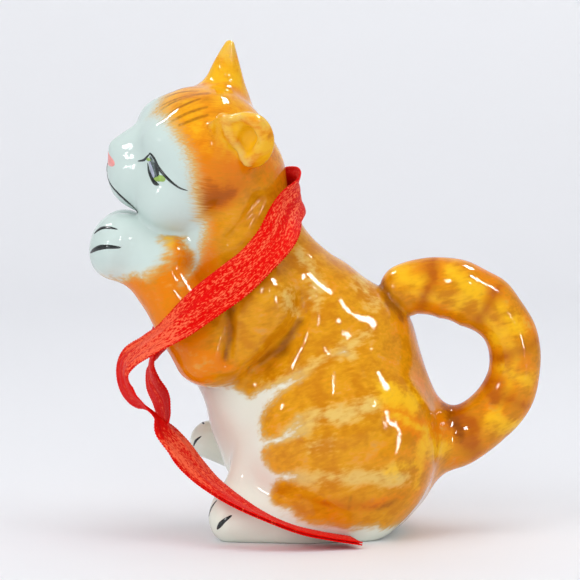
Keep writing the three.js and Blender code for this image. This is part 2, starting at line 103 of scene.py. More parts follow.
# An ear is modelled in its own directions: across it, the way its hollow faces, and from its root to its tip
Ear = namedtuple("Ear", "root points faces forms hollow melt")
LEFT_EAR = Ear((-3.6, 9.4, 6.6), (-0.38, 0.3, 0.87), (0.35, 0.9, 0.1), (
    Egg((0, 0, 2.2), (4.7, 2.0, 5.2), 0),
    Limb((4.8, 0.6, 2.8), 0.9, (0.6, 1.2, -3.2), 1.3, 0.9),
), Limb((-0.2, 2.5, 0.9), 1.5, (-0.4, 2.5, 4.4), 2.3, 0.5), 1.4)
LEFT_EAR_RIM = (
    (0.6, 7.6, 9.2), (-0.7, 10.1, 11.8), (-3.0, 11.2, 13.2), (-5.2, 12.3, 12.8), (-6.4, 12.7, 10.4),
    (-6.0, 12.5, 7.7), (-4.9, 12.2, 5.8), (-3.3, 11.3, 7.7), (-1.4, 11.0, 10.0), (-0.7, 10.1, 11.8),
)
EAR_RIM_RADIUS, EAR_RIM_MELT = 0.55, 1.5
RIGHT_EAR = Ear((-2.6, -7.6, 6.6), (0, -0.2, 0.98), (0.57, -0.82, 0), (
    Limb((0, 0, 0), 4.2, (0, 0, 8.7), 0.7, 0),
), Limb((0, 3.9, 1.2), 2.6, (0, 1.6, 7.0), 0.6, 0.7), 2.5)

# The tail is an arc in the middle plane: at each angle, its reach from the middle of the curl and its
# half width
TAIL_MIDDLE = (20.6, 27.3)
TAIL_ANGLES = (-118, -88, -50, -10, 30, 65, 95, 118)
TAIL_REACH = (13.6, 12.4, 11.5, 11.7, 11.7, 11.6, 12.0, 13.0)
TAIL_HALF_WIDTH = (6.3, 5.1, 4.3, 4.1, 4.3, 5.0, 5.0, 4.1)

HAUNCH_MELT, HEAD_MELT, FOOT_MELT, FORELEG_MELT = 4.5, 1.5, 2.0, 1.2
# The tail melts into the body at its root and only touches it at its tip, over this stretch of Z
TAIL_ROOT_MELT, TAIL_TIP_MELT = 3.0, 0.25
TAIL_TIP_RISE = (25, 33)
# Low lumps left by the hand: height, number of waves, and the shortest and longest wave; the seed of their
# directions, and what brings their sum to about one unit
LUMP_HEIGHT, LUMP_WAVES, LUMP_LENGTHS = 0.13, 12, (5, 12)
LUMP_SEED, LUMP_SCALE = 7, 3.5

# Soft folds pressed into both flanks, seen from the side as X and Z
Fold = namedtuple("Fold", "depth half_width path")
FOLDS = (
    Fold(1.3, 1.5, ((-9.4, 27.3), (-7.0, 28.8), (-5.0, 30.5), (-3.2, 32.7), (-2.2, 35.4), (-1.8, 38.2))),
    Fold(1.0, 1.1, ((-13.3, 37.2), (-13.2, 33.6), (-13.7, 29.0))),
    Fold(0.6, 0.9, ((-8.8, 53.8), (-11.0, 50.4), (-13.4, 47.6))),
)

# Coat. Paint strokes are seen from the side, alike on both flanks: X, Z and half width along each stroke.
COAT_EDGE = (
    (-40, 40.7), (-30.7, 40.7), (-25.7, 41.8), (-21, 40.9), (-18.5, 42.9), (-16.9, 47.6), (-16.9, 80),
    (60, 80), (60, 2.5), (10, 2.5), (8, 5), (8, 25), (4.7, 30.4), (-2.3, 26.7), (-8.8, 23.9),
    (-10.5, 22.6), (-12.3, 24.7), (-19.4, 24.2), (-40, 24.2),
)
HAUNCH_BANDS = (
    ((-6.6, 18.6, 2.0), (-3.7, 22.2, 2.3), (0.8, 24.2, 3.1), (6, 26, 4)),
    ((-5.4, 13.7, 2.3), (-2.4, 14.1, 3.2), (2.4, 14.7, 3.4), (7, 15.2, 3.6)),
    ((-4.6, 8.2, 2.0), (-1.5, 7.4, 2.9), (3, 6.6, 3.5), (8, 6.4, 3.8)),
)
# Thin wash that fills the gaps between the bands: where it begins, how gently, and its lowest and highest Z
GAP_WASH_START, GAP_WASH_RUN, GAP_WASH_LOW, GAP_WASH_HIGH = -2.6, 3.5, 5.0, 30
# Lowest Z of the coat, from this X backwards
COAT_LOW, COAT_LOW_START = 2.2, -8
WRIST_PATCH = (
    (-23.6, 47.6, 0.3), (-21.9, 47.2, 1.0), (-20.9, 45.2, 1.5), (-21.7, 42.6, 2.0), (-23.6, 40.0, 3.0),
)
CREAM_STROKES = (
    ((-7.5, 24.4, 0.8), (-2.3, 27.0, 0.8), (4.7, 30.4, 0.6), (8.5, 33.0, 0.6)),
    ((-4.2, 17.2, 0.8), (0.8, 20.6, 1.3), (4.0, 20.4, 1.6), (9.0, 22.4, 1.4)),
    ((-2.3, 10.7, 0.9), (5.5, 10.8, 1.0), (13.3, 10.8, 1.6)),
    ((-0.5, 15.8, 0.7), (2.4, 16.2, 0.8)),
    ((-4.4, 38.8, 1.0), (-2.9, 36.6, 0.8)),
    ((-1.9, 45.2, 0.9), (0.2, 40.6, 1.0), (0.4, 36.0, 0.6)),
    ((7.4, 40.4, 0.9), (9.4, 37.0, 0.8)),
    ((3.8, 31.0, 0.7), (6.0, 30.0, 0.7)),
)
YELLOW_STROKES = (
    ((11.0, 24.0, 1.6), (15.2, 22.2, 2.0)),
    ((17.4, 15.2, 1.6), (20.2, 13.8, 1.5)),
    ((12.0, 11.6, 0.9), (15.5, 12.8, 1.0)),
    ((12.5, 42.6, 1.2), (16, 40.6, 1.6)),
    ((21.8, 42.1, 1.4), (25.0, 38.8, 1.8), (22.8, 36.8, 1.2)),
    ((29.4, 36.4, 1.2), (32.4, 33.4, 1.4), (28.6, 31.6, 1.2)),
    ((30, 26.4, 1.0), (33.6, 24.8, 1.2)),
    ((27.8, 18.2, 1.4), (33.0, 17.0, 1.2)),
    ((11.5, 20.9, 0.5), (17.5, 17.5, 0.6), (16.0, 9.0, 0.2)),
    ((14.5, 38.8, 0.5), (25.5, 37.8, 0.7), (32.2, 28.0, 0.6), (29.0, 18.5, 0.4)),
    ((-7, 69, 0.8), (-4.6, 60, 1.0)),
    ((-25.2, 45.6, 1.4), (-23.4, 47.0, 1.4)),
)
# Brown strokes that darken the folds, where the tail's tip meets the back and the edge of the tail's loop:
# painted shade
CREASE_SHADE_STROKES = (
    ((10.2, 40.4, 0.9), (11.8, 37.6, 1.2), (14.0, 35.0, 0.9)),
    ((-13.3, 36.8, 0.6), (-13.2, 33.6, 0.9), (-13.7, 29.4, 0.6)),
    ((-8.6, 27.8, 0.5), (-5.0, 30.4, 1.0), (-2.6, 34.2, 0.7)),
    ((20.8, 20.4, 0.6), (22.4, 18.4, 0.9), (23.2, 15.6, 0.7)),
    ((5.4, 7.6, 0.3), (5.6, 5.8, 0.3)),
    ((10.2, 5.8, 0.3), (13.0, 7.2, 0.3)),
)
# Dark bands across the tail, and one along the foot of the haunch
TAIL_BANDS = (
    ((18.9, 43.4, 1.0), (18.2, 40.0, 1.1), (17.2, 37.0, 0.7)),
    ((29.4, 39.6, 0.5), (27.6, 36.8, 0.9), (26.0, 34.0, 0.8)),
    ((28.0, 28.4, 0.6), (31.4, 28.8, 0.8), (35.4, 30.6, 0.6)),
    ((26.9, 24.4, 1.3), (29.6, 22.4, 1.2), (33.4, 20.8, 0.8)),
    ((22.8, 19.8, 1.8), (24.4, 16.6, 2.4), (25.4, 13.6, 1.6)),
    ((-2.0, 7.4, 0.0), (5.0, 6.2, 0.4), (12.0, 6.4, 0.4)),
)
ORANGE_STROKES = (
    ((12.7, 20.9, 2.0), (18, 16.5, 2.2)),
    ((-20, 30, 2.0), (-13.5, 27.5, 1.5)),
    ((-21.8, 44.5, 0.9), (-21.0, 42.8, 1.0)),
    ((0, 7.2, 0.0), (6, 6.0, 0.2), (14, 7.6, 0.6)),
)
CREAM_LEAST = 0.06
# Share of orange in the coat: least on the flanks, more on the head and the forelegs, and halfway to that on
# the rump and the tail
ORANGE_LEAST, ORANGE_MORE, ORANGE_BEHIND = 0.12, 0.70, 0.5
# Hairs drawn on the forehead, in the head's own directions
FOREHEAD_HAIRS = (
    ((8.5, 0.7, 7.0), (6.3, 0.4, 8.8), (3.7, 0.2, 10.0), (0.9, 0.2, 10.9)),
    ((7.9, 3.2, 7.5), (5.1, 2.5, 9.4), (2.4, 1.6, 10.6)),
    ((7.0, 5.0, 7.7), (4.3, 4.3, 9.3), (1.4, 3.7, 10.3)),
    ((5.5, 5.9, 7.8), (3.3, 5.6, 9.0), (1.3, 5.2, 9.7)),
)
HAIR_HALF_WIDTH, HAIR_EDGE, HAIR_STRENGTH = 0.3, 1.6, 0.85
# White face: where the coat begins, as a place along the nose for each angle round it, 90 at the forehead
FACE_ANGLES = (-40, -8, 15, 30, 38, 55, 90)
FACE_EDGE = (-0.8, 1.6, 2.7, 3.9, 5.0, 6.6, 8.4)
FACE_FEATHER, COAT_FEATHER, THROAT_FEATHER, WRIST_FEATHER = 2.8, 1.2, 2.2, 2.2
# Patch on the cheek: its form, its strength at the outline, how softly it fades, and its share of brown
CHEEK_PATCH = Egg((-1.8, 12.0, -2.6), (4.8, 4.4, 4.0), 0)
CHEEK_EDGE, CHEEK_SOFTNESS, CHEEK_BROWN = 0.65, 4.5, 0.4
CROWN_STRENGTH = 0.6
CREAM_SOFTNESS, YELLOW_SOFTNESS, CREASE_SHADE_SOFTNESS, BAND_SOFTNESS, ORANGE_SOFTNESS = 4.0, 4.0, 2.0, 3.6, 3.5
# The strokes stray from their places as the lumps do: how far, how much more closely, and how far the lumps
# for Z lie from those for X
WANDER, WANDER_SCALE, WANDER_SHIFT = 0.25, 1.7, 40
# Width over which the paint of the head passes into that of the body
HEAD_BLEND = 2
# Stretches over which a share rises from 0 to 1: along X and Z of the figure, or ahead and up on the head
THROAT_AHEAD, THROAT_UP = (-19.5, -18), (40, 45)
WRIST_AHEAD, WRIST_UP = (-19, -20), (38, 41)
ORANGE_RUMP, ORANGE_FORELEG = (10, 18), (-14, -18)
# Above this stretch of Z the white turns to the darker, cooler face white: partly a cooler glaze, partly
# painted shade
SHADED_WHITE_UP = (36, 44)
CROWN_UP, FACE_BRUSH_AHEAD = (3, 8), (-7, -2)
# Those of an ear: by the depth of its flap and its hollow, and by the place from its root to its tip
FLAP_DEPTH, HOLLOW_DEPTH, FLAP_UP, PALE_TIP_UP = (1.5, 0.5), (0.9, -0.1), (-2, 1), (4.5, 8.5)
EAR_YELLOW_ROOT, EAR_YELLOW_RISE, EAR_YELLOW_MOST = 0.5, 0.1, 1.2
EAR_RIM_EDGE, EAR_RIM_CREAM, EAR_CREAM_COVER = 1.9, 1.1, 0.75

# Enamel lines: half width at the thickest, where that is along the line, and the line's places. Those of the
# face are in the head's own directions and are repeated on its other side. Those of the paws are in place.
Line = namedtuple("Line", "half_width thickest path")
FACE_INK = (
    Line(0.27, 0.35, ((10.9, 4.5, 0.0), (10.1, 5.4, 0.8), (9.8, 6.1, 1.8), (9.5, 6.7, 2.7))),
    Line(0.36, 0.35, (
        (9.6, 6.5, 2.5), (9.5, 6.7, 2.7), (8.9, 7.3, 2.3), (8.3, 7.9, 1.4), (7.5, 8.9, 0.8),
        (6.5, 10.0, 0.3), (5.8, 10.6, 0.0), (4.6, 11.3, -0.4), (3.4, 11.7, -0.5))),
    Line(0.42, 0.75, (
        (9.6, 6.3, 0.8), (9.3, 6.9, -0.1), (8.9, 8.0, -0.7), (8.3, 9.1, -1.1), (7.7, 9.7, -1.1))),
    Line(0.5, 0.5, ((8.7, 7.5, 1.9), (8.4, 7.8, 1.2), (8.1, 8.3, 0.5), (8.0, 8.8, -0.1))),
    Line(0.36, 0.75, (
        (14.7, 0.2, -5.0), (14.4, 2.2, -5.3), (13.8, 3.8, -5.8), (12.6, 5.0, -6.6), (11.4, 5.8, -7.4),
        (10.1, 6.8, -8.0))),
)
CHIN_INK = (Line(0.2, 0.4, ((15.4, 0, -3.3), (15.0, 0, -4.2), (14.7, 0, -5.0))),)
EYE_GROUND = (Line(1.0, 0.6, ((9.4, 6.7, 2.3), (8.9, 7.3, 0.9), (8.4, 8.3, 0.0), (7.6, 9.5, -0.5))),)
EYE_PALE = (
    Line(0.45, 0.5, ((9.4, 6.6, 1.4), (9.2, 6.9, 0.8), (8.9, 7.4, 0.2), (8.6, 8.1, -0.3), (8.5, 8.4, -0.6))),
)
EYE_GREEN = (
    Line(0.66, 0.55, (
        (8.5, 8.5, -0.7), (8.1, 8.9, -0.5), (7.8, 9.1, -0.2), (7.1, 9.6, 0.0), (6.9, 9.8, 0.1))),
    Line(0.4, 0.5, ((9.8, 6.0, 1.2), (9.5, 6.4, 1.5), (9.2, 6.8, 1.7))),
)
NOSE_PINK = (Line(1.3, 0.5, ((14.9, -1.9, -2.0), (15.2, 0.3, -2.2), (14.3, 2.8, -2.0))),)
# Claws of the left forepaw, repeated on the right one, and those of the hind feet
PAW_INK = (
    Line(0.42, 0.45, ((-35.0, -7.0, 48.4), (-33.3, -7.8, 48.9), (-30.8, -9.1, 48.7))),
    Line(0.50, 0.6, ((-35.4, -6.6, 45.2), (-34.4, -7.7, 45.7), (-32.4, -9.0, 46.3), (-30.3, -9.8, 46.3))),
)
FOOT_INK = (
    Line(0.30, 0.5, ((-16.8, -10.6, 3.9), (-16.4, -11.2, 5.2), (-15.3, -11.8, 6.6))),
    Line(0.48, 0.4, ((-15.3, -13.0, 2.2), (-14.4, -13.7, 3.4), (-12.9, -14.1, 4.6))),
    Line(0.30, 0.5, ((-20.4, 6.4, 12.6), (-19.6, 6.0, 13.8), (-18.2, 5.8, 14.7))),
    Line(0.26, 0.5, ((-18.4, 8.6, 17.0), (-17.9, 8.0, 16.4), (-17.6, 7.6, 15.8))),
)
# Height of the enamel, each piece's share of it, and how many times paler its thin parts are
ENAMEL_HEIGHT = 0.06
Enamel = namedtuple("Enamel", "share paler")
ENAMEL = {
    "eye_grounds": Enamel(0.5, 2.5),
    "pale_eyes": Enamel(0.8, 1.4),
    "green_irises": Enamel(0.9, 1.3),
    "pink_nose": Enamel(0.6, 1.2),
    "ink_lines": Enamel(1.1, 4),
}
EYE_GROUND_PALER = 6
# Section of a line: place across it in half widths, share of its height, and how far it is sunk in the glaze
ENAMEL_SECTION = ((-1, 0, 0.1), (-0.75, 0.7, 0), (0, 1, 0), (0.75, 0.7, 0), (1, 0, 0.1), (0, 0, 0.15))
# Steps along a line, its width at the ends as a share of the widest, and the streaks over which it thins
ENAMEL_STEPS, ENAMEL_POINT, ENAMEL_THIN = 24, 0.08, (0.35, 1.0)

# Ribbon: places on its middle line in millimetres, and the way its face looks there. Both strands begin at
# the nape, and the left one goes round it.
NAPE = (
    ((-7.0, 8.3, 53.4), (0.62, 0.78, 0.1)),
    ((-5.9, 7.2, 54.5), (0.7, 0.7, 0.1)),
    ((-4.0, 4.6, 55.4), (0.85, 0.5, 0.15)),
    ((-2.5, 0.4, 55.4), (0.97, 0.05, 0.05)),
    ((-2.2, -4.2, 54.2), (0.92, -0.38, 0.0)),
)
LEFT_SIDE = (
    ((-4.0, -8.2, 52.1), (0.66, -0.7, 0.18)),
    ((-5.9, -11.6, 48.0), (0.1, -0.82, 0.55)),
    ((-9.1, -13.9, 44.4), (-0.13, -0.8, 0.58)),
    ((-12.8, -15.4, 41.2), (-0.04, -0.95, 0.32)),
    ((-16.6, -15.6, 38.4), (-0.26, -0.92, 0.29)),
    ((-20.3, -15.1, 35.4), (-0.51, -0.78, 0.36)),
    ((-24.1, -13.4, 32.5), (-0.71, -0.47, 0.52)),
    ((-27.4, -10.2, 30.2), (-0.77, -0.39, 0.5)),
    ((-29.9, -8.0, 27.8), (-0.88, -0.42, 0.21)),
    ((-30.1, -6.4, 24.8), (-0.87, -0.45, -0.2)),
    ((-29.0, -6.2, 22.3), (-0.75, -0.42, -0.5)),
    ((-27.0, -6.4, 20.8), (-0.7, -0.25, -0.62)),
    ((-24.8, -6.2, 19.0), (-0.68, 0.0, -0.7)),
    ((-23.2, -6.8, 16.8), (-0.58, 0.38, -0.71)),
    ((-21.5, -7.8, 14.9), (-0.5, 0.44, -0.74)),
)
RIGHT_SIDE = (
    NAPE[0],
    ((-8.1, 9.4, 52.3), (0.5, 0.85, 0.15)),
    ((-9.9, 11.4, 49.6), (0.25, 0.9, 0.35)),
    ((-11.6, 13.5, 46.2), (0, 0.85, 0.5)),
    ((-13.8, 15.5, 42.4), (-0.15, 0.9, 0.4)),
    ((-17.2, 15.6, 38.2), (-0.15, 0.94, 0.3)),
    ((-20.8, 14.6, 34.6), (-0.25, 0.92, 0.25)),
    ((-24, 11.6, 31.8), (-0.6, 0.75, 0.2)),
    ((-25.8, 7.8, 29.8), (-0.85, 0.45, 0.2)),
    ((-26.3, 4.8, 27.5), (-0.94, -0.17, 0.3)),
    ((-26.4, 2.4, 24.8), (-0.95, -0.25, 0.12)),
    ((-25.3, 0.4, 22.6), (-0.92, -0.36, 0.0)),
    ((-24.2, -1.2, 20.7), (-0.88, -0.46, 0.05)),
    ((-23.8, -2.4, 18.7), (-0.88, -0.45, -0.05)),
    ((-23.1, -3.4, 16.6), (-0.85, -0.2, -0.4)),
    ((-21.6, -5.6, 14.3), (-0.68, 0.12, -0.7)),
)
TOGETHER = (
    ((-19.6, -9.2, 12.7), (-0.44, 0.37, -0.82)),
    ((-17.3, -11.8, 10.5), (-0.36, 0.24, -0.9)),
    ((-14.4, -14.6, 8.5), (-0.32, 0.13, -0.94)),
    ((-10.8, -17.4, 6.5), (-0.32, 0.04, -0.95)),
    ((-6.8, -18.9, 4.7), (-0.35, -0.02, -0.94)),
    ((-2.6, -18.9, 3.1), (-0.31, -0.04, -0.95)),
    ((1.9, -17.8, 2.0), (-0.24, -0.05, -0.97)),
    ((6.4, -16.4, 1.1), (-0.2, -0.05, -0.98)),
)
# How far the right strand lies under the left one where they run together, and how far both clear the figure
STRAND_LAY, RIBBON_CLEARANCE = 0.35, 0.05
STRAND_STEPS, STRAND_LANES = 360, 20
# Soft creases along a strand: height, waves across its half width and along a millimetre, and their start.
# They fade over these distances towards its lower end, to a least share, and towards its upper end.
Crease = namedtuple("Crease", "height across along start")
CREASES = (Crease(0.10, 6.2, -0.17, 0), Crease(0.05, 11.0, 0.23, 0), Crease(0.26, 2.4, 0.11, 0.6))
CREASE_FADE_LOW, CREASE_LEAST, CREASE_FADE_HIGH = 40, 0.1, 8
# Painted sheen where the satin would catch the light: distances from a strand's lower end, and its share there
PAINTED_SHEEN_PLACES = {
    "left": (0, 20, 28, 36, 40, 50, 54, 64, 70, 80, 95, 102),
    "right": (0, 20, 28, 32, 38, 60),
}
PAINTED_SHEEN_SHARES = {
    "left": (0.1, 0.15, 0.6, 0.75, 0.05, 0.0, 0.6, 0.8, 0.35, 0.3, 0.5, 0.2),
    "right": (0.1, 0.15, 0.5, 0.5, 0.05, 0.2),
}
RIBBON_LAY = "lay_of_the_threads"
# Attribute that holds the painted sheen of each strand
PAINTED_SATIN_SHEEN = "catches_light"

# Brush marks: their sizes along X, Y and Z in millimetres, and their contrast
Brush = namedtuple("Brush", "size contrast")
FACE_BRUSH = Brush((3.2, 0.26, 0.26), 1.7)
COAT_BRUSH, COAT_BRUSH_TURN = Brush((1.7, 0.6, 0.55), 2.2), (0, -0.3, 0)
MOTTLE = Brush((2.6, 2.6, 2.2), 2.8)
POOLS, POOLS_SHIFT = Brush((5.0, 4.0, 4.0), 2.6), (3, 5, 7)
GLAZE_RIPPLE = Brush((2.2, 2.2, 2.2), 1.0)
ENAMEL_BRUSH = Brush((0.5, 0.5, 0.5), 2.0)
PAPER_TOOTH, PAPER_PALER = Brush((0.8, 0.8, 0.8), 1.0), 1.02
# Washes of the coat, in the order of their laying: how much the hairs of the brush, the mottling and the
# pools change a wash's strength, the strengths at which it begins and is full, and the most that it covers
Wash = namedtuple("Wash", "colour unevenness low high most")
FIRST_WASH, FIRST_WASH_STRENGTH = Wash("amber", (0.7, 0.7, 0.7), -0.1, 1.1, 1.0), 0.5
WASHES = (
    Wash("orange", (0.45, 0.3, 0.7), 0.1, 0.9, 1.0),
    Wash("cream", (0.5, 0.5, 0.5), 0.2, 1.1, 0.8),
    Wash("yellow", (0.4, 0.35, 0.3), 0.15, 1.1, 0.9),
    Wash("sienna", (0.35, 0.5, 0.3), 0.15, 1.1, 0.9),
    # The brown wash lays the painted shade of the creases as well as the forehead hairs
    Wash("brown", (0.4, 0.3, 0.0), 0.2, 1.2, 0.85),
)
# Edge of the coat: how ragged the brush leaves it, how far it spreads in feather widths, and the shares of
# cover over which the thin wash and then the whole coat show
EDGE_RAGGED, EDGE_SPREAD = 0.6, (-1.0, 0.9)
THIN_WASH_COVER, WHOLE_COAT_COVER = (0.0, 0.6), (0.3, 1.0)
# Marks in the satin: how many lie in a millimetre along and across it, their contrast, and how much they
# change the painted sheen
Weave = namedtuple("Weave", "along across contrast light")
SATIN_BANDS = Weave(0.07, 0.75, 3.6, 0.5)
SATIN_THREADS = Weave(1.6, 8.0, 3.0, 0.5)
SATIN_DASHES = Weave(1.5, 3.6, 3.0, 0.9)
# Strengths of the painted sheen over which the satin goes from its red to its sheen colour
PAINTED_SHEEN_RANGE = (0.3, 0.95)
SATIN_ROUGHNESS, THREAD_ROUGHNESS, DASH_HEIGHT = 0.36, 0.2, 0.6

# Floor and backdrop, in millimetres: where the floor begins and bends up, and the sizes of the sheet
FLOOR_START, FLOOR_END, BEND_RADIUS, BEND_STEPS = -2500, 500, 250, 12
BACKDROP_HEIGHT, BACKDROP_WIDTH = 1200, 5000
# Middle of the picture in millimetres, and the width of the camera's sensor in its own millimetres
AIM = (-3.84, 0, 38.9)
SENSOR_WIDTH = 36

# Light, in metres: large soft lamps that the glaze doesn't mirror, and small windows that only it shows
Lamp = namedtuple("Lamp", "name place size brightness mirrored")
WINDOW_LIGHT = 65
LAMPS = (
    Lamp("soft_key", (-0.7, -0.7, 0.75), (0.7, 0.7), 2.3, False),
    Lamp("soft_top", (0.1, -0.1, 1.2), (0.9, 0.8), 2.0, False),
    Lamp("soft_front", (-0.1, -1.1, 0.45), (0.9, 0.6), 1.7, False),
    Lamp("soft_right", (0.9, -0.5, 0.8), (0.6, 0.6), 1.2, False),
    Lamp("overhead_window", (0.3, 0.3, 0.72), (0.2, 0.12), WINDOW_LIGHT, True),
    Lamp("back_window", (0.47, -0.28, 0.62), (0.10, 0.22), WINDOW_LIGHT, True),
    Lamp("right_window", (0.58, -0.52, 0.11), (0.035, 0.2), WINDOW_LIGHT, True),
    Lamp("left_window", (-0.6, -0.46, 0.3), (0.07, 0.10), WINDOW_LIGHT, True),
    Lamp("front_window", (0.0, -0.67, 0.45), (0.035, 0.14), WINDOW_LIGHT, True),
    Lamp("crown_window", (-0.43, 0.2, 0.7), (0.08, 0.2), WINDOW_LIGHT, True),
    Lamp("side_window", (0.36, -0.6, 0.43), (0.04, 0.1), WINDOW_LIGHT, True),
)
WORLD_LIGHT = 0.5


def length_prop(name, description, default):
    return bpy.props.FloatProperty(name=name, description=description, default=default, unit="LENGTH")


def colour_prop(name, description, default):
    return bpy.props.FloatVectorProperty(
        name=name, description=description, default=default, subtype="COLOR", size=3, min=0, max=1)


class KittenSettings(bpy.types.PropertyGroup):
    """Sizes and colours of the glazed figure."""

    grain: length_prop("Grain", "Spacing of the figure's mesh", 0.4 * MM)
    white: colour_prop("White glaze", "Bare white porcelain on the body", (0.80, 0.83, 0.73))
    # The face white is darker than the body's white: partly a cooler glaze, partly painted shade on the face
    # and  the upper figure
    shaded_face_white: colour_prop("Face white", "Cooler white porcelain of the face", (0.58, 0.69, 0.66))
    ochre: colour_prop("Ochre", "Thicker washes of the coat on the flanks", (0.60, 0.21, 0.002))
    amber: colour_prop("Amber", "Thinner washes of the coat on the flanks", (0.77, 0.36, 0.008))
    orange: colour_prop("Orange", "Washes of the head, the legs and the rump", (0.79, 0.215, 0.001))
    cream: colour_prop("Cream", "Palest washes, between the bands and on the ears", (0.78, 0.57, 0.17))
    yellow: colour_prop("Yellow", "Bright strokes on the crown, the ears and the tail", (0.92, 0.52, 0.012))
    sienna: colour_prop("Sienna", "Bands across the tail and the cheek", (0.44, 0.095, 0.001))
    # Brown also serves as painted shade in the folds and creases; on the forehead it draws hairs
    brown: colour_prop("Brown", "Dark strokes in the folds and on the forehead", (0.24, 0.06, 0.001))
    thin_wash: colour_prop("Thin wash", "Paint along the feathered edge of the coat", (0.66, 0.43, 0.14))
    ink: colour_prop("Ink", "Enamel of the eyes' outlines, the mouth and the claws", (0.012, 0.016, 0.016))
    iris: colour_prop("Iris", "Green enamel of the eyes", (0.28, 0.44, 0.09))
    eye_white: colour_prop("Eye white", "Pale enamel of the eyes", (0.36, 0.39, 0.50))
    nose: colour_prop("Nose", "Pink enamel of the nose", (0.84, 0.32, 0.30))


class RibbonSettings(bpy.types.PropertyGroup):
    """Sizes and colours of the satin ribbon."""

    width: length_prop("Width", "Width of the ribbon", 6 * MM)
    thickness: length_prop("Thickness", "Thickness of the ribbon", 0.2 * MM)
    picot: length_prop("Picot spacing", "Distance between the small loops along the edges", 0.5 * MM)
    picot_radius: length_prop("Picot radius", "Half the width of a loop", 0.15 * MM)
    red: colour_prop("Red", "Colour of the satin in its shaded folds", (0.78, 0.002, 0.002))
    # The sheen colour is painted light, laid on the satin where its strands would catch the lamps
    sheen: colour_prop("Sheen", "Colour of the satin where it catches the light", (1.0, 0.16, 0.07))


class StageSettings(bpy.types.PropertyGroup):
    """Camera, light and floor."""

    distance: length_prop("Camera distance", "From the camera to the middle of the picture", 0.5)
    elevation: bpy.props.FloatProperty(
        name="Camera elevation", description="Angle above the horizon", default=math.radians(4),
        unit="ROTATION")
    picture: length_prop("Picture width", "What the picture's width takes in at the figure", 92.8 * MM)
    floor: colour_prop("Floor", "Colour of the floor and the backdrop", (0.82, 0.83, 0.865))


def ramp(values, stretch):
    """Share from 0 to 1 of the way from the start of a stretch to its end."""
    start, end = stretch
    return np.clip((values - start) / (end - start), 0, 1)


def egg_depth(points, at, radii):
    """Distance from each point to an ellipsoid's surface, below zero inside."""
    near = (points - at) / radii
    share = np.linalg.norm(near, axis=1)
    slope = np.linalg.norm(near / radii, axis=1)
    return share * (share - 1) / np.maximum(slope, 1e-6)


def limb_depth(points, start, start_radius, end, end_radius):
    """Distance from each point to a tapered limb's surface, below zero inside."""
    along = np.subtract(end, start)
    length = np.linalg.norm(along)
    along = along / length
    taper = (start_radius - end_radius) / length
    run = (points - start) @ along
    out = np.linalg.norm(points - start - run[:, None] * along, axis=1)
    lean = taper / math.sqrt(1 - taper * taper)
    foot = np.clip((run - out * lean) / length, 0, 1)
    radius = start_radius + (end_radius - start_radius) * foot
    return np.hypot(out, run - foot * length) - radius


def melt(first, second, width):
    """Joins two surfaces with a fillet of that width."""
    overlap = np.maximum(width - np.abs(first - second), 0) / np.maximum(width, 1e-6)
    return np.minimum(first, second) - overlap * overlap * width / 4


def form_depth(points, form):
    if isinstance(form, Egg):
        return egg_depth(points, form.at, form.radii)
    return limb_depth(points, form.start, form.start_radius, form.end, form.end_radius)


def sculpt(points, forms):
    depth = form_depth(points, forms[0])
    for form in forms[1:]:
        depth = melt(depth, form_depth(points, form), form.melt)
    return depth


def turned(angle, first, second):
    """Rotation that turns one axis towards another."""
    turn = np.eye(3)
    turn[first, first] = turn[second, second] = math.cos(angle)
    turn[second, first] = math.sin(angle)
    turn[first, second] = -math.sin(angle)
    return turn


def head_axes():
    """Forward, left and up of the head, as columns."""
    turn, lift, roll = (math.radians(angle) for angle in (HEAD_TURN, HEAD_LIFT, HEAD_ROLL))
    return turned(turn, 0, 1) @ turned(lift, 2, 0) @ turned(roll, 1, 2) @ np.diag((-1.0, -1.0, 1.0))


HEAD_AXES = head_axes()


def on_head(points):
    """Points of the figure in the head's own directions."""
    return (points - HEAD_MIDDLE) @ HEAD_AXES


def from_head(points):
    return np.asarray(points, float) @ HEAD_AXES.T + HEAD_MIDDLE


def mirrored(points):
    """Points with Y as the distance from the middle."""
    return np.stack((points[:, 0], np.abs(points[:, 1]), points[:, 2]), axis=1)


def tail_depth(points):
    side = points[:, 0] - TAIL_MIDDLE[0]
    rise = points[:, 2] - TAIL_MIDDLE[1]
    angle = np.clip(np.degrees(np.arctan2(rise, side)), TAIL_ANGLES[0], TAIL_ANGLES[-1])
    reach = np.interp(angle, TAIL_ANGLES, TAIL_REACH)
    half = np.interp(angle, TAIL_ANGLES, TAIL_HALF_WIDTH)
    off_side = side - reach * np.cos(np.radians(angle))
    off_rise = rise - reach * np.sin(np.radians(angle))
    return np.sqrt(off_side ** 2 + points[:, 1] ** 2 + off_rise ** 2) - half


def path_distance(points, path):
    """Distance from points in a plane or in space to a line of straight stretches."""
    nearest = np.full(len(points), np.inf)
    for start, end in zip(path[:-1], path[1:]):
        along = np.subtract(end, start)
        share = np.clip((points - start) @ along / (along @ along), 0, 1)
        nearest = np.minimum(nearest, np.linalg.norm(points - start - share[:, None] * along, axis=1))
    return nearest


def lumps(points):
    """Low waves in many directions, about one unit high, for a surface pressed by hand."""
    chance = np.random.RandomState(LUMP_SEED)
    height = np.zeros(len(points))
    for _ in range(LUMP_WAVES):
        way = chance.normal(size=3)
        way *= 2 * math.pi / chance.uniform(*LUMP_LENGTHS) / np.linalg.norm(way)
        height += np.sin(points @ way + chance.uniform(0, 2 * math.pi))
    return height / LUMP_SCALE


def unit(way):
    return np.asarray(way, float) / np.linalg.norm(way)


def on_ear(head, ear):
    """Points of the head in an ear's own directions."""
    up = unit(ear.points)
    ahead = unit(np.asarray(ear.faces) - np.dot(ear.faces, up) * up)
    return (head - ear.root) @ np.stack((np.cross(ahead, up), ahead, up), axis=1)


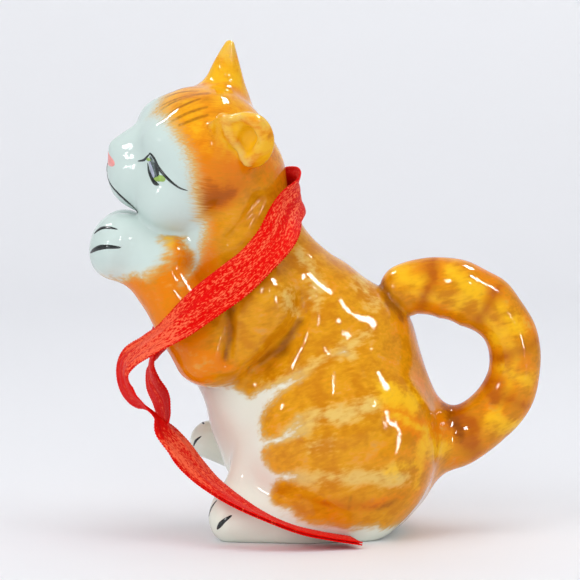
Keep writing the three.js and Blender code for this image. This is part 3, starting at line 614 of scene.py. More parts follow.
def head_depth(points):
    head = on_head(points)
    depth = sculpt(mirrored(head), SKULL)
    for ear in (LEFT_EAR, RIGHT_EAR):
        local = on_ear(head, ear)
        depth = melt(depth, sculpt(local, ear.forms), ear.melt)
        depth = -melt(-depth, form_depth(local, ear.hollow), ear.hollow.melt)
    return melt(depth, path_distance(head, LEFT_EAR_RIM) - EAR_RIM_RADIUS, EAR_RIM_MELT)


def body_depth(points):
    pair = mirrored(points)
    depth = melt(sculpt(points, TRUNK), sculpt(pair, HAUNCH), HAUNCH_MELT)
    tip = ramp(points[:, 2], TAIL_TIP_RISE)
    depth = melt(depth, tail_depth(points), TAIL_ROOT_MELT + (TAIL_TIP_MELT - TAIL_ROOT_MELT) * tip)
    for foot in (LEFT_FOOT, RIGHT_FOOT):
        depth = melt(depth, sculpt(points, foot), FOOT_MELT)
    return depth


def kitten_depth(points):
    """Distance from each point to the figure's surface, in millimetres and below zero inside."""
    depth = melt(body_depth(points), head_depth(points), HEAD_MELT)
    depth = melt(depth, sculpt(mirrored(points), FORELEG), FORELEG_MELT)
    flat = points[:, [0, 2]]
    for fold in FOLDS:
        depth = depth + fold.depth * np.exp(-(path_distance(flat, fold.path) / fold.half_width) ** 2)
    depth = depth + LUMP_HEIGHT * lumps(points)
    return np.maximum(depth, -points[:, 2])


def outward(points, reach=0.03):
    """The way the figure's surface faces at each point."""
    slope = np.empty_like(points)
    for axis in range(3):
        step = np.zeros(3)
        step[axis] = reach
        slope[:, axis] = kitten_depth(points + step) - kitten_depth(points - step)
    return slope / np.linalg.norm(slope, axis=1)[:, None]


def settle(points, height=0.0, passes=3):
    """Moves points straight to the figure's surface, or to a height above it."""
    for _ in range(passes):
        points = points - (kitten_depth(points) - height)[:, None] * outward(points)
    return points


def grid_depth(low, counts, step, coarse=4, margin=1.6):
    """Depth on a grid: measured finely near the surface only, and coarsely elsewhere."""
    wide = [np.arange(0, count, coarse) for count in counts]
    blocks = np.stack(np.meshgrid(*wide, indexing="ij"), axis=-1)
    middles = low + (blocks.reshape(-1, 3) + (coarse - 1) / 2) * step
    rough = kitten_depth(middles).reshape(blocks.shape[:3])
    values = rough
    for axis in range(3):
        values = np.repeat(values, coarse, axis=axis)
    values = np.ascontiguousarray(values[: counts[0], : counts[1], : counts[2]])
    close = np.abs(values) < coarse * step * margin
    values[close] = kitten_depth(low + np.argwhere(close) * step)
    return values


def surface_net(values, low, step):
    """Corners and four-sided faces of the surface where a grid of depths crosses zero."""
    inside = values < 0
    cells = tuple(n - 1 for n in values.shape)
    corners = [(i, j, k) for i in (0, 1) for j in (0, 1) for k in (0, 1)]

    def at(grid, corner):
        return grid[tuple(slice(c, c + n) for c, n in zip(corner, cells))]

    filled = sum(at(inside, corner).astype(np.int8) for corner in corners)
    mixed = (filled > 0) & (filled < 8)
    number = np.full(cells, -1)
    number[mixed] = np.arange(mixed.sum())
    total = np.zeros((mixed.sum(), 3))
    crossings = np.zeros(mixed.sum())
    for corner in corners:
        for axis in range(3):
            if corner[axis]:
                continue
            other = tuple(c + (a == axis) for a, c in enumerate(corner))
            here, there = at(values, corner)[mixed], at(values, other)[mixed]
            crosses = (here < 0) != (there < 0)
            place = np.tile(np.array(corner, float), (len(here), 1))
            place[crosses, axis] = here[crosses] / (here[crosses] - there[crosses])
            total[crosses] += place[crosses]
            crossings += crosses
    points = low + (np.argwhere(mixed) + total / crossings[:, None]) * step
    faces = []
    for axis in range(3):
        one, two = [a for a in range(3) if a != axis]
        span = [slice(1, n) for n in cells]
        span[axis] = slice(0, cells[axis])
        ahead = list(span)
        ahead[axis] = slice(1, cells[axis] + 1)
        here, there = inside[tuple(span)], inside[tuple(ahead)]
        for way in (True, False):
            edges = np.argwhere((here != there) & (here == way))
            edges[:, one] += 1
            edges[:, two] += 1
            around = []
            for back_one, back_two in ((1, 1), (0, 1), (0, 0), (1, 0)):
                cell = edges.copy()
                cell[:, one] -= back_one
                cell[:, two] -= back_two
                around.append(number[cell[:, 0], cell[:, 1], cell[:, 2]])
            quads = np.stack(around, axis=1)
            faces.append(quads if way == (axis != 1) else quads[:, ::-1])
    return points, np.concatenate(faces)


def mesh_object(name, points, faces, material):
    """A smooth piece from points in millimetres."""
    mesh = bpy.data.meshes.new(name)
    mesh.from_pydata((np.asarray(points) * MM).tolist(), [], [tuple(map(int, face)) for face in faces])
    mesh.validate()
    mesh.polygons.foreach_set("use_smooth", [True] * len(mesh.polygons))
    mesh.materials.append(material)
    piece = bpy.data.objects.new(name, mesh)
    bpy.context.collection.objects.link(piece)
    return piece


def catmull(stops, share):
    """A place on the smooth curve through the stops, with centripetal spacing."""
    count = len(stops)
    run = (count - 1) * share
    i = min(int(run), count - 2)
    t = run - i
    here, there = stops[i], stops[i + 1]
    before = stops[i - 1] if i > 0 else 2 * stops[0] - stops[1]
    after = stops[i + 2] if i + 2 < count else 2 * stops[-1] - stops[-2]
    gap_before, gap, gap_after = (
        math.sqrt(np.linalg.norm(b - a)) for a, b in ((before, here), (here, there), (there, after)))
    gap = gap or 1.0
    gap_before = gap_before or gap
    gap_after = gap_after or gap
    leave = gap * (
        (here - before) / gap_before - (there - before) / (gap_before + gap) + (there - here) / gap)
    arrive = gap * (
        (there - here) / gap - (after - here) / (gap + gap_after) + (after - there) / gap_after)
    square = -3 * here + 3 * there - 2 * leave - arrive
    cube = 2 * here - 2 * there + leave + arrive
    return here + leave * t + square * t * t + cube * t ** 3


def strand_rings(stops, steps, near=1e-4):
    """Middle, across and face of a ribbon at even steps along its stops."""
    places = [np.array(place, float) for place, face in stops]
    faces = [np.array(face, float) for place, face in stops]
    rings = []
    for i in range(steps + 1):
        share = i / steps
        middle = catmull(places, share)
        along = catmull(places, min(share + near, 1)) - catmull(places, max(share - near, 0))
        along /= np.linalg.norm(along)
        face = catmull(faces, share)
        face = face - (face @ along) * along
        face /= np.linalg.norm(face)
        rings.append((middle, np.cross(face, along), face))
    return [np.array(column) for column in zip(*rings)]


def strand_creases(to_end, lane, run):
    """Height of a strand's creases, from the distances to its ends and the place across it."""
    height = sum(crease.height * np.sin(crease.across * lane + crease.along * to_end + crease.start)
                 for crease in CREASES)
    height = height * np.clip(to_end / CREASE_FADE_LOW, CREASE_LEAST, 1)
    return height * np.clip(run / CREASE_FADE_HIGH, 0, 1)


def clear_of_figure(points, gap, passes=4):
    """Lifts points that lie too close to the figure, or in it, off its surface."""
    points = points.copy()
    for _ in range(passes):
        depth = kitten_depth(points)
        close = depth < gap
        if not close.any():
            break
        points[close] += (gap - depth[close])[:, None] * outward(points[close])
    points[:, 2] = np.maximum(points[:, 2], gap)
    return points


def sheet_normals(sheet):
    """The way a sheet of points faces, at each of them."""
    along = np.gradient(sheet, axis=0)
    aside = np.gradient(sheet, axis=1)
    looks = np.cross(along, aside)
    return looks / np.linalg.norm(looks, axis=2)[:, :, None]


def underneath(stop):
    """A stop of the strand that lies under the other one."""
    place, face = (np.array(part, float) for part in stop)
    return tuple(place + STRAND_LAY * face / np.linalg.norm(face)), stop[1]


def polygon_cover(flat, corners):
    """How far inside a closed outline each point of a plane lies, below zero outside."""
    inside = np.zeros(len(flat), bool)
    for (x0, z0), (x1, z1) in zip(corners, corners[1:] + corners[:1]):
        if z0 == z1:
            continue
        crosses = (flat[:, 1] < z0) != (flat[:, 1] < z1)
        inside ^= crosses & (flat[:, 0] < x0 + (flat[:, 1] - z0) * (x1 - x0) / (z1 - z0))
    edge = path_distance(flat, corners + corners[:1])
    return np.where(inside, edge, -edge)


def stroke_cover(flat, stroke):
    """How far inside a brush stroke each point of a plane lies, below zero outside."""
    cover = np.full(len(flat), -np.inf)
    for start, end in zip(stroke[:-1], stroke[1:]):
        along = np.subtract(end[:2], start[:2])
        share = np.clip((flat - start[:2]) @ along / (along @ along), 0, 1)
        gap = np.linalg.norm(flat - start[:2] - share[:, None] * along, axis=1)
        cover = np.maximum(cover, start[2] + (end[2] - start[2]) * share - gap)
    return cover


def paint_share(flat, strokes, softness):
    """Strength of the paint that a set of soft strokes leaves, from 0 to 1."""
    cover = np.max([stroke_cover(flat, stroke) for stroke in strokes], axis=0)
    share = np.clip(0.5 + cover / softness, 0, 1)
    return share * share * (3 - 2 * share)


def ear_paint(head):
    """Strength of the yellow and the cream on the ears."""
    yellow, cream = np.zeros(len(head)), np.zeros(len(head))
    for ear in (LEFT_EAR, RIGHT_EAR):
        local = on_ear(head, ear)
        up = local[:, 2]
        flap = ramp(sculpt(local, ear.forms), FLAP_DEPTH) * ramp(up, FLAP_UP)
        hollow = EAR_YELLOW_MOST * ramp(form_depth(local, ear.hollow), HOLLOW_DEPTH)
        yellow = np.maximum(yellow, flap * np.maximum(EAR_YELLOW_ROOT + EAR_YELLOW_RISE * up, hollow))
        cream = np.maximum(cream, flap * ramp(up, PALE_TIP_UP))
    rim = np.clip(EAR_RIM_EDGE - path_distance(head, LEFT_EAR_RIM) / EAR_RIM_RADIUS, 0, 1)
    yellow = np.clip(yellow, 0, EAR_YELLOW_MOST) * (1 - EAR_CREAM_COVER * np.maximum(rim, cream))
    return yellow, np.maximum(EAR_RIM_CREAM * rim, cream)


def body_cover(points, flat):
    """How far inside the coat of the body and the legs each point lies, below zero outside."""
    ahead, up = flat.T
    cover = polygon_cover(flat, COAT_EDGE)
    for stroke in (*HAUNCH_BANDS, WRIST_PATCH):
        cover = np.maximum(cover, stroke_cover(flat, stroke))
    gap_wash = np.minimum(up - GAP_WASH_LOW, GAP_WASH_HIGH - up)
    cover = np.maximum(cover, np.minimum((ahead - GAP_WASH_START) / GAP_WASH_RUN, gap_wash))
    return np.minimum(cover, np.maximum(points[:, 2] - COAT_LOW, COAT_LOW_START - points[:, 0]))


def coat_paint(points):
    """The coat at each point: how far inside it lies, its edge's feathering, and each colour's strength."""
    head = on_head(points)
    rest = np.minimum(body_depth(points), sculpt(mirrored(points), FORELEG))
    on_the_head = np.clip(0.5 + (rest - head_depth(points)) / HEAD_BLEND, 0, 1)
    off_head = 1 - on_the_head
    angle = np.degrees(np.arctan2(head[:, 2], np.abs(head[:, 1])))
    face = np.interp(angle, FACE_ANGLES, FACE_EDGE) - head[:, 0]
    astray = points * WANDER_SCALE
    flat = points[:, [0, 2]] + WANDER * np.stack((lumps(astray), lumps(astray + WANDER_SHIFT)), axis=1)
    ahead, up = flat.T
    throat = ramp(up, THROAT_UP) * ramp(ahead, THROAT_AHEAD)
    wrist = ramp(ahead, WRIST_AHEAD) * ramp(up, WRIST_UP)
    feather = COAT_FEATHER + (FACE_FEATHER - COAT_FEATHER) * on_the_head
    ear_yellow, ear_cream = ear_paint(head)
    crown = CROWN_STRENGTH * on_the_head * ramp(head[:, 2], CROWN_UP)
    cheek = egg_depth(mirrored(head), CHEEK_PATCH.at, CHEEK_PATCH.radii)
    cheek = np.clip(CHEEK_EDGE - cheek / CHEEK_SOFTNESS, 0, 1) * on_the_head
    hairs = np.min([path_distance(mirrored(head), hair) for hair in FOREHEAD_HAIRS], axis=0)
    hairs = HAIR_STRENGTH * np.clip(HAIR_EDGE - hairs / HAIR_HALF_WIDTH, 0, 1) * on_the_head
    behind = ORANGE_BEHIND * ramp(ahead, ORANGE_RUMP)
    more_orange = np.max((on_the_head, behind, ramp(ahead, ORANGE_FORELEG)), axis=0)
    orange = paint_share(flat, ORANGE_STROKES, ORANGE_SOFTNESS) * off_head
    cream = np.maximum(paint_share(flat, CREAM_STROKES, CREAM_SOFTNESS), CREAM_LEAST) * off_head
    yellow = paint_share(flat, YELLOW_STROKES, YELLOW_SOFTNESS)
    sienna = paint_share(flat, TAIL_BANDS, BAND_SOFTNESS) * off_head
    # Painted shade: brown laid in the folds and creases of the body
    brown = paint_share(flat, CREASE_SHADE_STROKES, CREASE_SHADE_SOFTNESS) * off_head
    return {
        "coat": face * on_the_head + body_cover(points, flat) * off_head,
        "feather": np.max((feather, THROAT_FEATHER * throat, WRIST_FEATHER * wrist), axis=0),
        "brush": np.maximum(on_the_head, throat) * ramp(head[:, 0], FACE_BRUSH_AHEAD),
        # Share of the darker, cooler white, partly painted shade: on the head and the upper figure
        "cool_white": np.maximum(on_the_head, ramp(points[:, 2], SHADED_WHITE_UP)),
        "orange_paint": np.maximum(ORANGE_LEAST + ORANGE_MORE * more_orange, orange),
        "cream_paint": np.maximum(cream, ear_cream),
        "yellow_paint": np.max((yellow, ear_yellow, crown), axis=0),
        "sienna_paint": np.maximum(sienna, cheek),
        # Brown holds the painted shade of the creases as well as the forehead hairs and the cheek's brown
        "brown_paint": np.max((brown, hairs, CHEEK_BROWN * cheek), axis=0),
    }


def tube(rings):
    """Points and faces of a closed form through rings of points, its faces outwards."""
    count, sides = rings.shape[:2]
    points = rings.reshape(-1, 3)
    faces = []
    for i in range(count - 1):
        for j in range(sides):
            k = (j + 1) % sides
            faces.append((i * sides + j, i * sides + k, (i + 1) * sides + k, (i + 1) * sides + j))
    faces.append(tuple(reversed(range(sides))))
    faces.append(tuple(range((count - 1) * sides, count * sides)))
    volume = sum(points[face[0]] @ np.cross(points[face[i]], points[face[i + 1]])
                 for face in faces for i in range(1, len(face) - 1))
    return points, faces if volume > 0 else [face[::-1] for face in faces]


def enamel_line(line, places, height):
    """A thin raised line of enamel along places on the figure, pointed at both ends."""
    shares = np.linspace(0, 1, ENAMEL_STEPS + 1)
    middle = settle(np.array([catmull(places, share) for share in shares]))
    along = np.gradient(middle, axis=0)
    aside = np.cross(outward(middle), along)
    aside /= np.linalg.norm(aside, axis=1)[:, None]
    swell = np.where(shares < line.thickest, shares / line.thickest, (1 - shares) / (1 - line.thickest))
    half = line.half_width * (ENAMEL_POINT + (1 - ENAMEL_POINT) * np.sqrt(np.clip(swell, 0, 1)))
    rings = [settle(middle + aside * (half * out)[:, None], height * share - sunk, passes=2)
             for out, share, sunk in ENAMEL_SECTION]
    return tube(np.stack(rings, axis=1))


def join_forms(forms):
    points, faces, count = [], [], 0
    for form_points, form_faces in forms:
        points.append(form_points)
        faces.extend(tuple(corner + count for corner in face) for face in form_faces)
        count += len(form_points)
    return np.concatenate(points), faces


class Wiring:
    """Adds nodes to a tree and joins them."""

    def __init__(self, tree):
        self.tree = tree

    def node(self, kind, inputs=(), **settings):
        node = self.tree.nodes.new(kind)
        for name, value in settings.items():
            setattr(node, name, value)
        for socket, value in dict(inputs).items():
            self.put(node.inputs[socket], value)
        return node

    def put(self, socket, value):
        if isinstance(value, bpy.types.NodeSocket):
            self.tree.links.new(value, socket)
        else:
            socket.default_value = value

    def math(self, operation, first, second=0.0, third=0.0, clamp=False):
        inputs = {0: first, 1: second, 2: third}
        return self.node("ShaderNodeMath", inputs, operation=operation, use_clamp=clamp).outputs[0]

    def smooth(self, value, low, high):
        inputs = {"Value": value, "From Min": low, "From Max": high}
        return self.node("ShaderNodeMapRange", inputs, interpolation_type="SMOOTHSTEP").outputs[0]

    def blend(self, share, first, second):
        inputs = {0: share, 6: first, 7: second}
        return self.node("ShaderNodeMix", inputs, data_type="RGBA").outputs[2]

    def paint(self, name):
        return self.node("ShaderNodeAttribute", attribute_name=name).outputs["Fac"]


def brush_strokes():
    """Node group: streaks of a brush, one unit long and wide in the vector that it is given."""
    name = "brush_strokes"
    if name in bpy.data.node_groups:
        return bpy.data.node_groups[name]
    group = bpy.data.node_groups.new(name, "ShaderNodeTree")
    group.interface.new_socket("Vector", in_out="INPUT", socket_type="NodeSocketVector")
    group.interface.new_socket("Contrast", in_out="INPUT", socket_type="NodeSocketFloat")
    group.interface.new_socket("Streak", in_out="OUTPUT", socket_type="NodeSocketFloat")
    wiring = Wiring(group)
    given = wiring.node("NodeGroupInput").outputs
    noise = wiring.node("ShaderNodeTexNoise", {"Vector": given["Vector"], "Scale": 1.0, "Detail": 3.0})
    spread = wiring.math("MULTIPLY", wiring.math("SUBTRACT", noise.outputs["Fac"], 0.5), given["Contrast"])
    result = wiring.node("NodeGroupOutput")
    wiring.put(result.inputs["Streak"], wiring.math("ADD", spread, 0.5))
    return group


def new_material(name):
    """A material, its wiring and its main shader."""
    material = bpy.data.materials.new(name)
    material.use_nodes = True
    return material, Wiring(material.node_tree), material.node_tree.nodes["Principled BSDF"]


def streaks(wiring, vector, contrast):
    group = wiring.node("ShaderNodeGroup", node_tree=brush_strokes())
    wiring.put(group.inputs["Vector"], vector)
    wiring.put(group.inputs["Contrast"], contrast)
    return group.outputs["Streak"]


def brush_marks(wiring, brush, location=(0, 0, 0), rotation=(0, 0, 0)):
    """Streaks of a brush on the piece's own coordinates, from a place and in a direction of their own."""
    inputs = {
        "Vector": wiring.node("ShaderNodeTexCoord").outputs["Object"],
        "Location": tuple(value * MM for value in location),
        "Rotation": rotation,
        "Scale": tuple(value * MM for value in brush.size),
    }
    counted = wiring.node("ShaderNodeMapping", inputs, vector_type="TEXTURE").outputs["Vector"]
    return streaks(wiring, counted, brush.contrast)


def glaze_material(settings):
    """White glaze with a coat in washes of orange, its edges feathered as by a dry brush."""
    material, wiring, shader = new_material("painted_glaze")
    head_turn = Matrix(HEAD_AXES.tolist()).to_euler()
    head_streak = brush_marks(wiring, FACE_BRUSH, HEAD_MIDDLE, head_turn)
    body_streak = brush_marks(wiring, COAT_BRUSH, rotation=COAT_BRUSH_TURN)
    mottle = brush_marks(wiring, MOTTLE)
    patch = brush_marks(wiring, POOLS, POOLS_SHIFT)
    streak = wiring.node("ShaderNodeMix", {0: wiring.paint("brush"), 2: body_streak, 3: head_streak})
    hair, cloud, pool = (
        wiring.math("SUBTRACT", value, 0.5) for value in (streak.outputs[0], mottle, patch))
    edge = wiring.math("DIVIDE", wiring.paint("coat"), wiring.paint("feather"))
    cover = wiring.smooth(wiring.math("MULTIPLY_ADD", hair, EDGE_RAGGED, edge), *EDGE_SPREAD)

    def lay(wash, under, strength):
        """Lays a wash over a colour, thicker where its strength is high and the brush left more of it."""
        for amount, field in zip(wash.unevenness, (hair, cloud, pool)):
            strength = wiring.math("MULTIPLY_ADD", field, amount, strength)
        share = wiring.math("MULTIPLY", wiring.smooth(strength, wash.low, wash.high), wash.most)
        return wiring.blend(share, under, (*getattr(settings, wash.colour), 1))

    coat = lay(FIRST_WASH, (*settings.ochre, 1), FIRST_WASH_STRENGTH)
    for wash in WASHES:
        coat = lay(wash, coat, wiring.paint(wash.colour + "_paint"))
    # Bare porcelain: the body's white, turning to the darker, cooler face white that is partly painted shade
    bare = wiring.blend(wiring.paint("cool_white"), (*settings.white, 1), (*settings.shaded_face_white, 1))
    edge_wash = wiring.blend(wiring.smooth(cover, *THIN_WASH_COVER), bare, (*settings.thin_wash, 1))
    painted = wiring.blend(wiring.smooth(cover, *WHOLE_COAT_COVER), edge_wash, coat)
    wiring.put(shader.inputs["Base Color"], painted)
    shader.inputs["Roughness"].default_value = 0.06
    shader.inputs["IOR"].default_value = 1.5
    shader.inputs["Specular IOR Level"].default_value = 0.2
    ripple = brush_marks(wiring, GLAZE_RIPPLE)
    bump = wiring.node("ShaderNodeBump", {"Height": ripple, "Strength": 0.3, "Distance": 0.2 * MM})
    wiring.put(shader.inputs["Normal"], bump.outputs["Normal"])
    return material


def enamel_material(name, colour, thin_colour):
    """Overglaze enamel, thinner along the strokes of the brush."""
    material, wiring, shader = new_material(name)
    streak = brush_marks(wiring, ENAMEL_BRUSH)
    body = wiring.blend(wiring.smooth(streak, *ENAMEL_THIN), (*colour, 1), (*thin_colour, 1))
    wiring.put(shader.inputs["Base Color"], body)
    shader.inputs["Roughness"].default_value = 0.12
    return material


def satin_material(settings):
    """Red satin: long floating threads, the weft showing between them as dashes, and a painted sheen."""
    material, wiring, shader = new_material("red_satin")
    lay = wiring.node("ShaderNodeUVMap", uv_map=RIBBON_LAY).outputs["UV"]
    painted_sheen_strength = wiring.paint(PAINTED_SATIN_SHEEN)
    fields = []
    for weave in (SATIN_BANDS, SATIN_THREADS, SATIN_DASHES):
        counted = wiring.node("ShaderNodeMapping", {"Vector": lay, "Scale": (weave.along, weave.across, 1)})
        field = streaks(wiring, counted.outputs["Vector"], weave.contrast)
        painted_sheen_strength = wiring.math("MULTIPLY_ADD", wiring.math("SUBTRACT", field, 0.5), weave.light, painted_sheen_strength)
        fields.append(field)
    thread, dash = fields[1:]
    # Painted sheen: the satin's red turns to the sheen colour where the painted strength is high
    share = wiring.smooth(painted_sheen_strength, *PAINTED_SHEEN_RANGE)
    wiring.put(shader.inputs["Base Color"], wiring.blend(share, (*settings.red, 1), (*settings.sheen, 1)))
    rough = wiring.math("MULTIPLY_ADD", thread, THREAD_ROUGHNESS, SATIN_ROUGHNESS, clamp=True)
    wiring.put(shader.inputs["Roughness"], rough)
    shader.inputs["Specular IOR Level"].default_value = 0.06
    shader.inputs["Specular Tint"].default_value = (1.0, 0.35, 0.2, 1)
    height = wiring.math("ADD", thread, wiring.math("MULTIPLY", dash, DASH_HEIGHT))
    bump = wiring.node("ShaderNodeBump", {"Height": height, "Strength": 0.5, "Distance": 0.12 * MM})
    wiring.put(shader.inputs["Normal"], bump.outputs["Normal"])
    return material


def paper_material(settings):
    """Pale seamless paper with a faint tooth."""
    material, wiring, shader = new_material("backdrop_paper")
    tooth = brush_marks(wiring, PAPER_TOOTH)
    pale = tuple(min(value * PAPER_PALER, 1) for value in settings.floor)
    wiring.put(shader.inputs["Base Color"], wiring.blend(tooth, (*settings.floor, 1), (*pale, 1)))
    shader.inputs["Roughness"].default_value = 0.55
    return material


def picot_nodes(satin):
    """Geometry nodes: a small loop at even steps along each line of a mesh."""
    tree = bpy.data.node_groups.new("picots", "GeometryNodeTree")
    tree.is_modifier = True
    tree.interface.new_socket("Geometry", in_out="INPUT", socket_type="NodeSocketGeometry")
    spacing = tree.interface.new_socket("Spacing", in_out="INPUT", socket_type="NodeSocketFloat")
    radius = tree.interface.new_socket("Radius", in_out="INPUT", socket_type="NodeSocketFloat")
    tree.interface.new_socket("Geometry", in_out="OUTPUT", socket_type="NodeSocketGeometry")
    wiring = Wiring(tree)
    given = wiring.node("NodeGroupInput").outputs
    edge = wiring.node("GeometryNodeMeshToCurve", {"Mesh": given["Geometry"]}).outputs["Curve"]
    dots = wiring.node(
        "GeometryNodeCurveToPoints", {"Curve": edge, "Length": given["Spacing"]}, mode="LENGTH")
    loop = wiring.node("GeometryNodeMeshIcoSphere", {"Radius": given["Radius"], "Subdivisions": 1})
    placed = wiring.node(
        "GeometryNodeInstanceOnPoints", {"Points": dots.outputs["Points"], "Instance": loop.outputs["Mesh"]})
    solid = wiring.node("GeometryNodeRealizeInstances", {"Geometry": placed.outputs["Instances"]})
    dyed = wiring.node("GeometryNodeSetMaterial", {"Geometry": solid.outputs["Geometry"], "Material": satin})
    result = wiring.node("NodeGroupOutput")
    wiring.put(result.inputs["Geometry"], dyed.outputs["Geometry"])
    return tree, {"spacing": spacing.identifier, "radius": radius.identifier}


class ORNAMENT_OT_glazed_kitten(bpy.types.Operator):
    """Model the kitten as one glazed figure and paint its coat"""

    bl_idname = "ornament.glazed_kitten"
    bl_label = "Glazed kitten"

    def execute(self, context):
        settings = context.scene.kitten
        step = settings.grain / MM
        low = np.array([min(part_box(name)[0][axis] for name in CASTINGS) for axis in range(3)]) / MM
        high = np.array([max(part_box(name)[1][axis] for name in CASTINGS) for axis in range(3)]) / MM
        low, high = low - GRID_MARGIN, high + GRID_MARGIN
        counts = np.ceil((high - low) / step).astype(int)
        low[2] = -GRID_UNDER * step
        points, faces = surface_net(grid_depth(low, counts, step), low, step)
        points = settle(points)
        kitten = mesh_object("glazed_kitten", points, faces, glaze_material(settings))
        for name, values in coat_paint(points).items():
            kitten.data.attributes.new(name, "FLOAT", "POINT").data.foreach_set("value", values)
        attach(kitten, "root")
        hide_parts(*CASTINGS)
        return {"FINISHED"}


class ORNAMENT_OT_enamel(bpy.types.Operator):
    """Draw the eyes, the nose, the mouth and the claws in enamel over the glaze"""

    bl_idname = "ornament.enamel"
    bl_label = "Enamel lines"

    def execute(self, context):
        settings = context.scene.kitten
        ground = tuple(value * EYE_GROUND_PALER for value in settings.ink)
        self.piece("eye_grounds", self.face(EYE_GROUND), ground)
        self.piece("pale_eyes", self.face(EYE_PALE), settings.eye_white)
        self.piece("green_irises", self.face(EYE_GREEN), settings.iris)
        self.piece("pink_nose", self.face(NOSE_PINK, (1,)), settings.nose)
        ink = self.face(FACE_INK) + self.face(CHIN_INK, (1,)) + self.claws()
        self.piece("ink_lines", ink, settings.ink)
        return {"FINISHED"}

    def face(self, lines, sides=(1, -1)):
        """Lines of the face and their places, on one side or on both."""
        return [(line, from_head(np.array(line.path) * (1, side, 1))) for line in lines for side in sides]

    def claws(self):
        """Lines of the claws and their places."""
        placed = [(line, side) for line in PAW_INK for side in (1, -1)] + [(line, 1) for line in FOOT_INK]
        return [(line, np.array(line.path) * (1, side, 1)) for line, side in placed]

    def piece(self, name, lines, colour):
        share, paler = ENAMEL[name]
        forms = [enamel_line(line, places, ENAMEL_HEIGHT * share) for line, places in lines]
        thin_colour = tuple(min(value * paler, 1) for value in colour)
        piece = mesh_object(name, *join_forms(forms), enamel_material(name, colour, thin_colour))
        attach(piece, "root")


class ORNAMENT_OT_ribbon(bpy.types.Operator):
    """Lay the two strands of the satin ribbon"""

    bl_idname = "ornament.ribbon"
    bl_label = "Satin ribbon"

    def execute(self, context):
        settings = context.scene.ribbon
        satin = satin_material(settings)
        picots, sockets = picot_nodes(satin)
        left = NAPE + LEFT_SIDE + TOGETHER
        right = RIGHT_SIDE + tuple(underneath(stop) for stop in TOGETHER)
        for side, stops in (("left", left), ("right", right)):
            self.strand(side, stops, settings, satin, picots, sockets)
        return {"FINISHED"}

    def strand(self, side, stops, settings, satin, picots, sockets):
        middle, across, face = strand_rings(stops, STRAND_STEPS)
        half = settings.width / MM / 2
        thick = settings.thickness / MM / 2
        run = np.concatenate(((0,), np.cumsum(np.linalg.norm(np.diff(middle, axis=0), axis=1))))
        to_end = run[-1] - run
        lane = np.linspace(-1, 1, STRAND_LANES + 1)
        crease = strand_creases(to_end[:, None], lane[None, :], run[:, None])
        sheet = middle[:, None] + across[:, None] * (half * lane)[None, :, None]
        sheet = sheet + face[:, None] * crease[:, :, None]
        sheet = clear_of_figure(sheet.reshape(-1, 3), thick + RIBBON_CLEARANCE).reshape(sheet.shape)
        looks = sheet_normals(sheet)
        rings = np.concatenate((sheet + thick * looks, (sheet - thick * looks)[:, ::-1]), axis=1)
        piece = mesh_object(f"ribbon_{side}_satin", *tube(rings), satin)
        around = np.concatenate((lane, lane[::-1])) * half
        lay = np.stack(np.broadcast_arrays(to_end[:, None], around[None]), axis=2)
        corner = np.empty(len(piece.data.loops), int)
        piece.data.loops.foreach_get("vertex_index", corner)
        piece.data.uv_layers.new(name=RIBBON_LAY).data.foreach_set("uv", lay.reshape(-1, 2)[corner].ravel())
        # Painted sheen: how much of the lighter sheen colour each ring of the strand gets
        catches = np.interp(to_end, PAINTED_SHEEN_PLACES[side], PAINTED_SHEEN_SHARES[side])
        shine = piece.data.attributes.new(PAINTED_SATIN_SHEEN, "FLOAT", "POINT")
        shine.data.foreach_set("value", np.repeat(catches, rings.shape[1]))
        edges = self.picots(side, sheet[:, (0, -1)], settings, picots, sockets)
        for cloth in (piece, edges):
            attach(cloth, "root")
        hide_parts(f"ribbon_{side}_strand")

    def picots(self, side, edges, settings, picots, sockets):
        """Small loops along both edges of a strand."""
        name = f"ribbon_{side}_picots"
        mesh = bpy.data.meshes.new(name)
        count = len(edges)
        starts = [row + column * count for column in (0, 1) for row in range(count - 1)]
        lines = [(start, start + 1) for start in starts]
        mesh.from_pydata((edges.transpose(1, 0, 2).reshape(-1, 3) * MM).tolist(), lines, [])
        guide = bpy.data.objects.new(name, mesh)
        bpy.context.collection.objects.link(guide)
        modifier = guide.modifiers.new("picots", "NODES")
        modifier.node_group = picots
        modifier[sockets["spacing"]] = settings.picot
        modifier[sockets["radius"]] = settings.picot_radius
        depsgraph = bpy.context.evaluated_depsgraph_get()
        guide_mesh = bpy.data.meshes.new_from_object(guide.evaluated_get(depsgraph), depsgraph=depsgraph)
        guide.modifiers.remove(modifier)
        guide.data = guide_mesh
        return guide


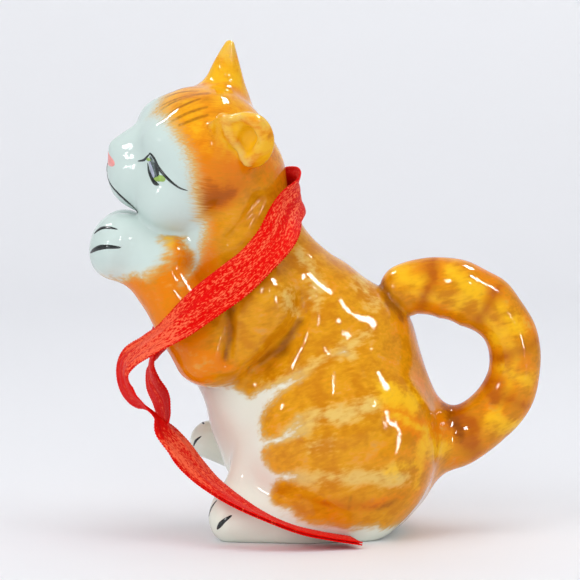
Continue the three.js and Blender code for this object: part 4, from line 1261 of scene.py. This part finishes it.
class ORNAMENT_OT_stage(bpy.types.Operator):
    """Set up the floor, the light and the camera"""

    bl_idname = "ornament.stage"
    bl_label = "Stage"

    def execute(self, context):
        settings = context.scene.stage
        self.camera(context, settings)
        self.floor(settings)
        self.lights()
        return {"FINISHED"}

    def camera(self, context, settings):
        data = bpy.data.cameras.new("camera")
        data.sensor_width = SENSOR_WIDTH
        data.lens = data.sensor_width * settings.distance / settings.picture
        camera = bpy.data.objects.new("camera", data)
        context.collection.objects.link(camera)
        tilt = settings.elevation
        back = Vector((0, -math.cos(tilt), math.sin(tilt)))
        camera.location = Vector(AIM) * MM + back * settings.distance
        camera.rotation_euler = (math.pi / 2 - tilt, 0, 0)
        context.scene.camera = camera

    def floor(self, settings):
        profile = [(FLOOR_START, 0), (FLOOR_END, 0)]
        for i in range(1, BEND_STEPS + 1):
            angle = math.pi / 2 * i / BEND_STEPS
            profile.append((FLOOR_END + BEND_RADIUS * math.sin(angle), BEND_RADIUS * (1 - math.cos(angle))))
        profile.append((FLOOR_END + BEND_RADIUS, BACKDROP_HEIGHT))
        points = [(x, y, z) for y, z in profile for x in (-BACKDROP_WIDTH / 2, BACKDROP_WIDTH / 2)]
        faces = [(2 * i, 2 * i + 1, 2 * i + 3, 2 * i + 2) for i in range(len(profile) - 1)]
        backdrop = mesh_object("backdrop", points, faces, paper_material(settings))

    def lights(self):
        self.world()
        aim = Vector(AIM) * MM
        for lamp in LAMPS:
            data = bpy.data.lights.new(lamp.name, "AREA")
            data.shape = "RECTANGLE"
            data.size, data.size_y = lamp.size
            data.energy = lamp.brightness * math.pi * lamp.size[0] * lamp.size[1]
            piece = bpy.data.objects.new(lamp.name, data)
            piece.location = lamp.place
            piece.rotation_euler = (aim - Vector(lamp.place)).to_track_quat("-Z", "Y").to_euler()
            piece.visible_glossy = lamp.mirrored
            piece.visible_diffuse = not lamp.mirrored
            bpy.context.collection.objects.link(piece)
        bpy.context.scene.view_settings.view_transform = "Standard"

    def world(self):
        """Even light from all round."""
        world = bpy.data.worlds.new("studio")
        world.use_nodes = True
        background = world.node_tree.nodes["Background"]
        background.inputs["Color"].default_value = (1, 1, 1, 1)
        background.inputs["Strength"].default_value = WORLD_LIGHT
        bpy.context.scene.world = world


class ORNAMENT_PT_panel(bpy.types.Panel):
    """Lists what the ornament is made of"""

    bl_idname = "ORNAMENT_PT_panel"
    bl_label = "Porcelain kitten"
    bl_space_type = "VIEW_3D"
    bl_region_type = "UI"
    bl_category = "Kitten"

    def draw(self, context):
        for maker in MAKERS:
            self.layout.operator(maker.bl_idname)


MAKERS = (ORNAMENT_OT_stage, ORNAMENT_OT_ribbon, ORNAMENT_OT_glazed_kitten, ORNAMENT_OT_enamel)
SETTINGS = (("kitten", KittenSettings), ("ribbon", RibbonSettings), ("stage", StageSettings))


def register():
    for name, group in SETTINGS:
        bpy.utils.register_class(group)
        setattr(bpy.types.Scene, name, bpy.props.PointerProperty(type=group))
    for maker in MAKERS:
        bpy.utils.register_class(maker)
    bpy.utils.register_class(ORNAMENT_PT_panel)


def unregister():
    bpy.utils.unregister_class(ORNAMENT_PT_panel)
    for maker in reversed(MAKERS):
        bpy.utils.unregister_class(maker)
    for name, group in reversed(SETTINGS):
        delattr(bpy.types.Scene, name)
        bpy.utils.unregister_class(group)


def main():
    register()
    bpy.ops.ornament.stage()
    bpy.ops.ornament.ribbon()
    bpy.ops.ornament.glazed_kitten()
    bpy.ops.ornament.enamel()


if __name__ == "__main__":
    main()
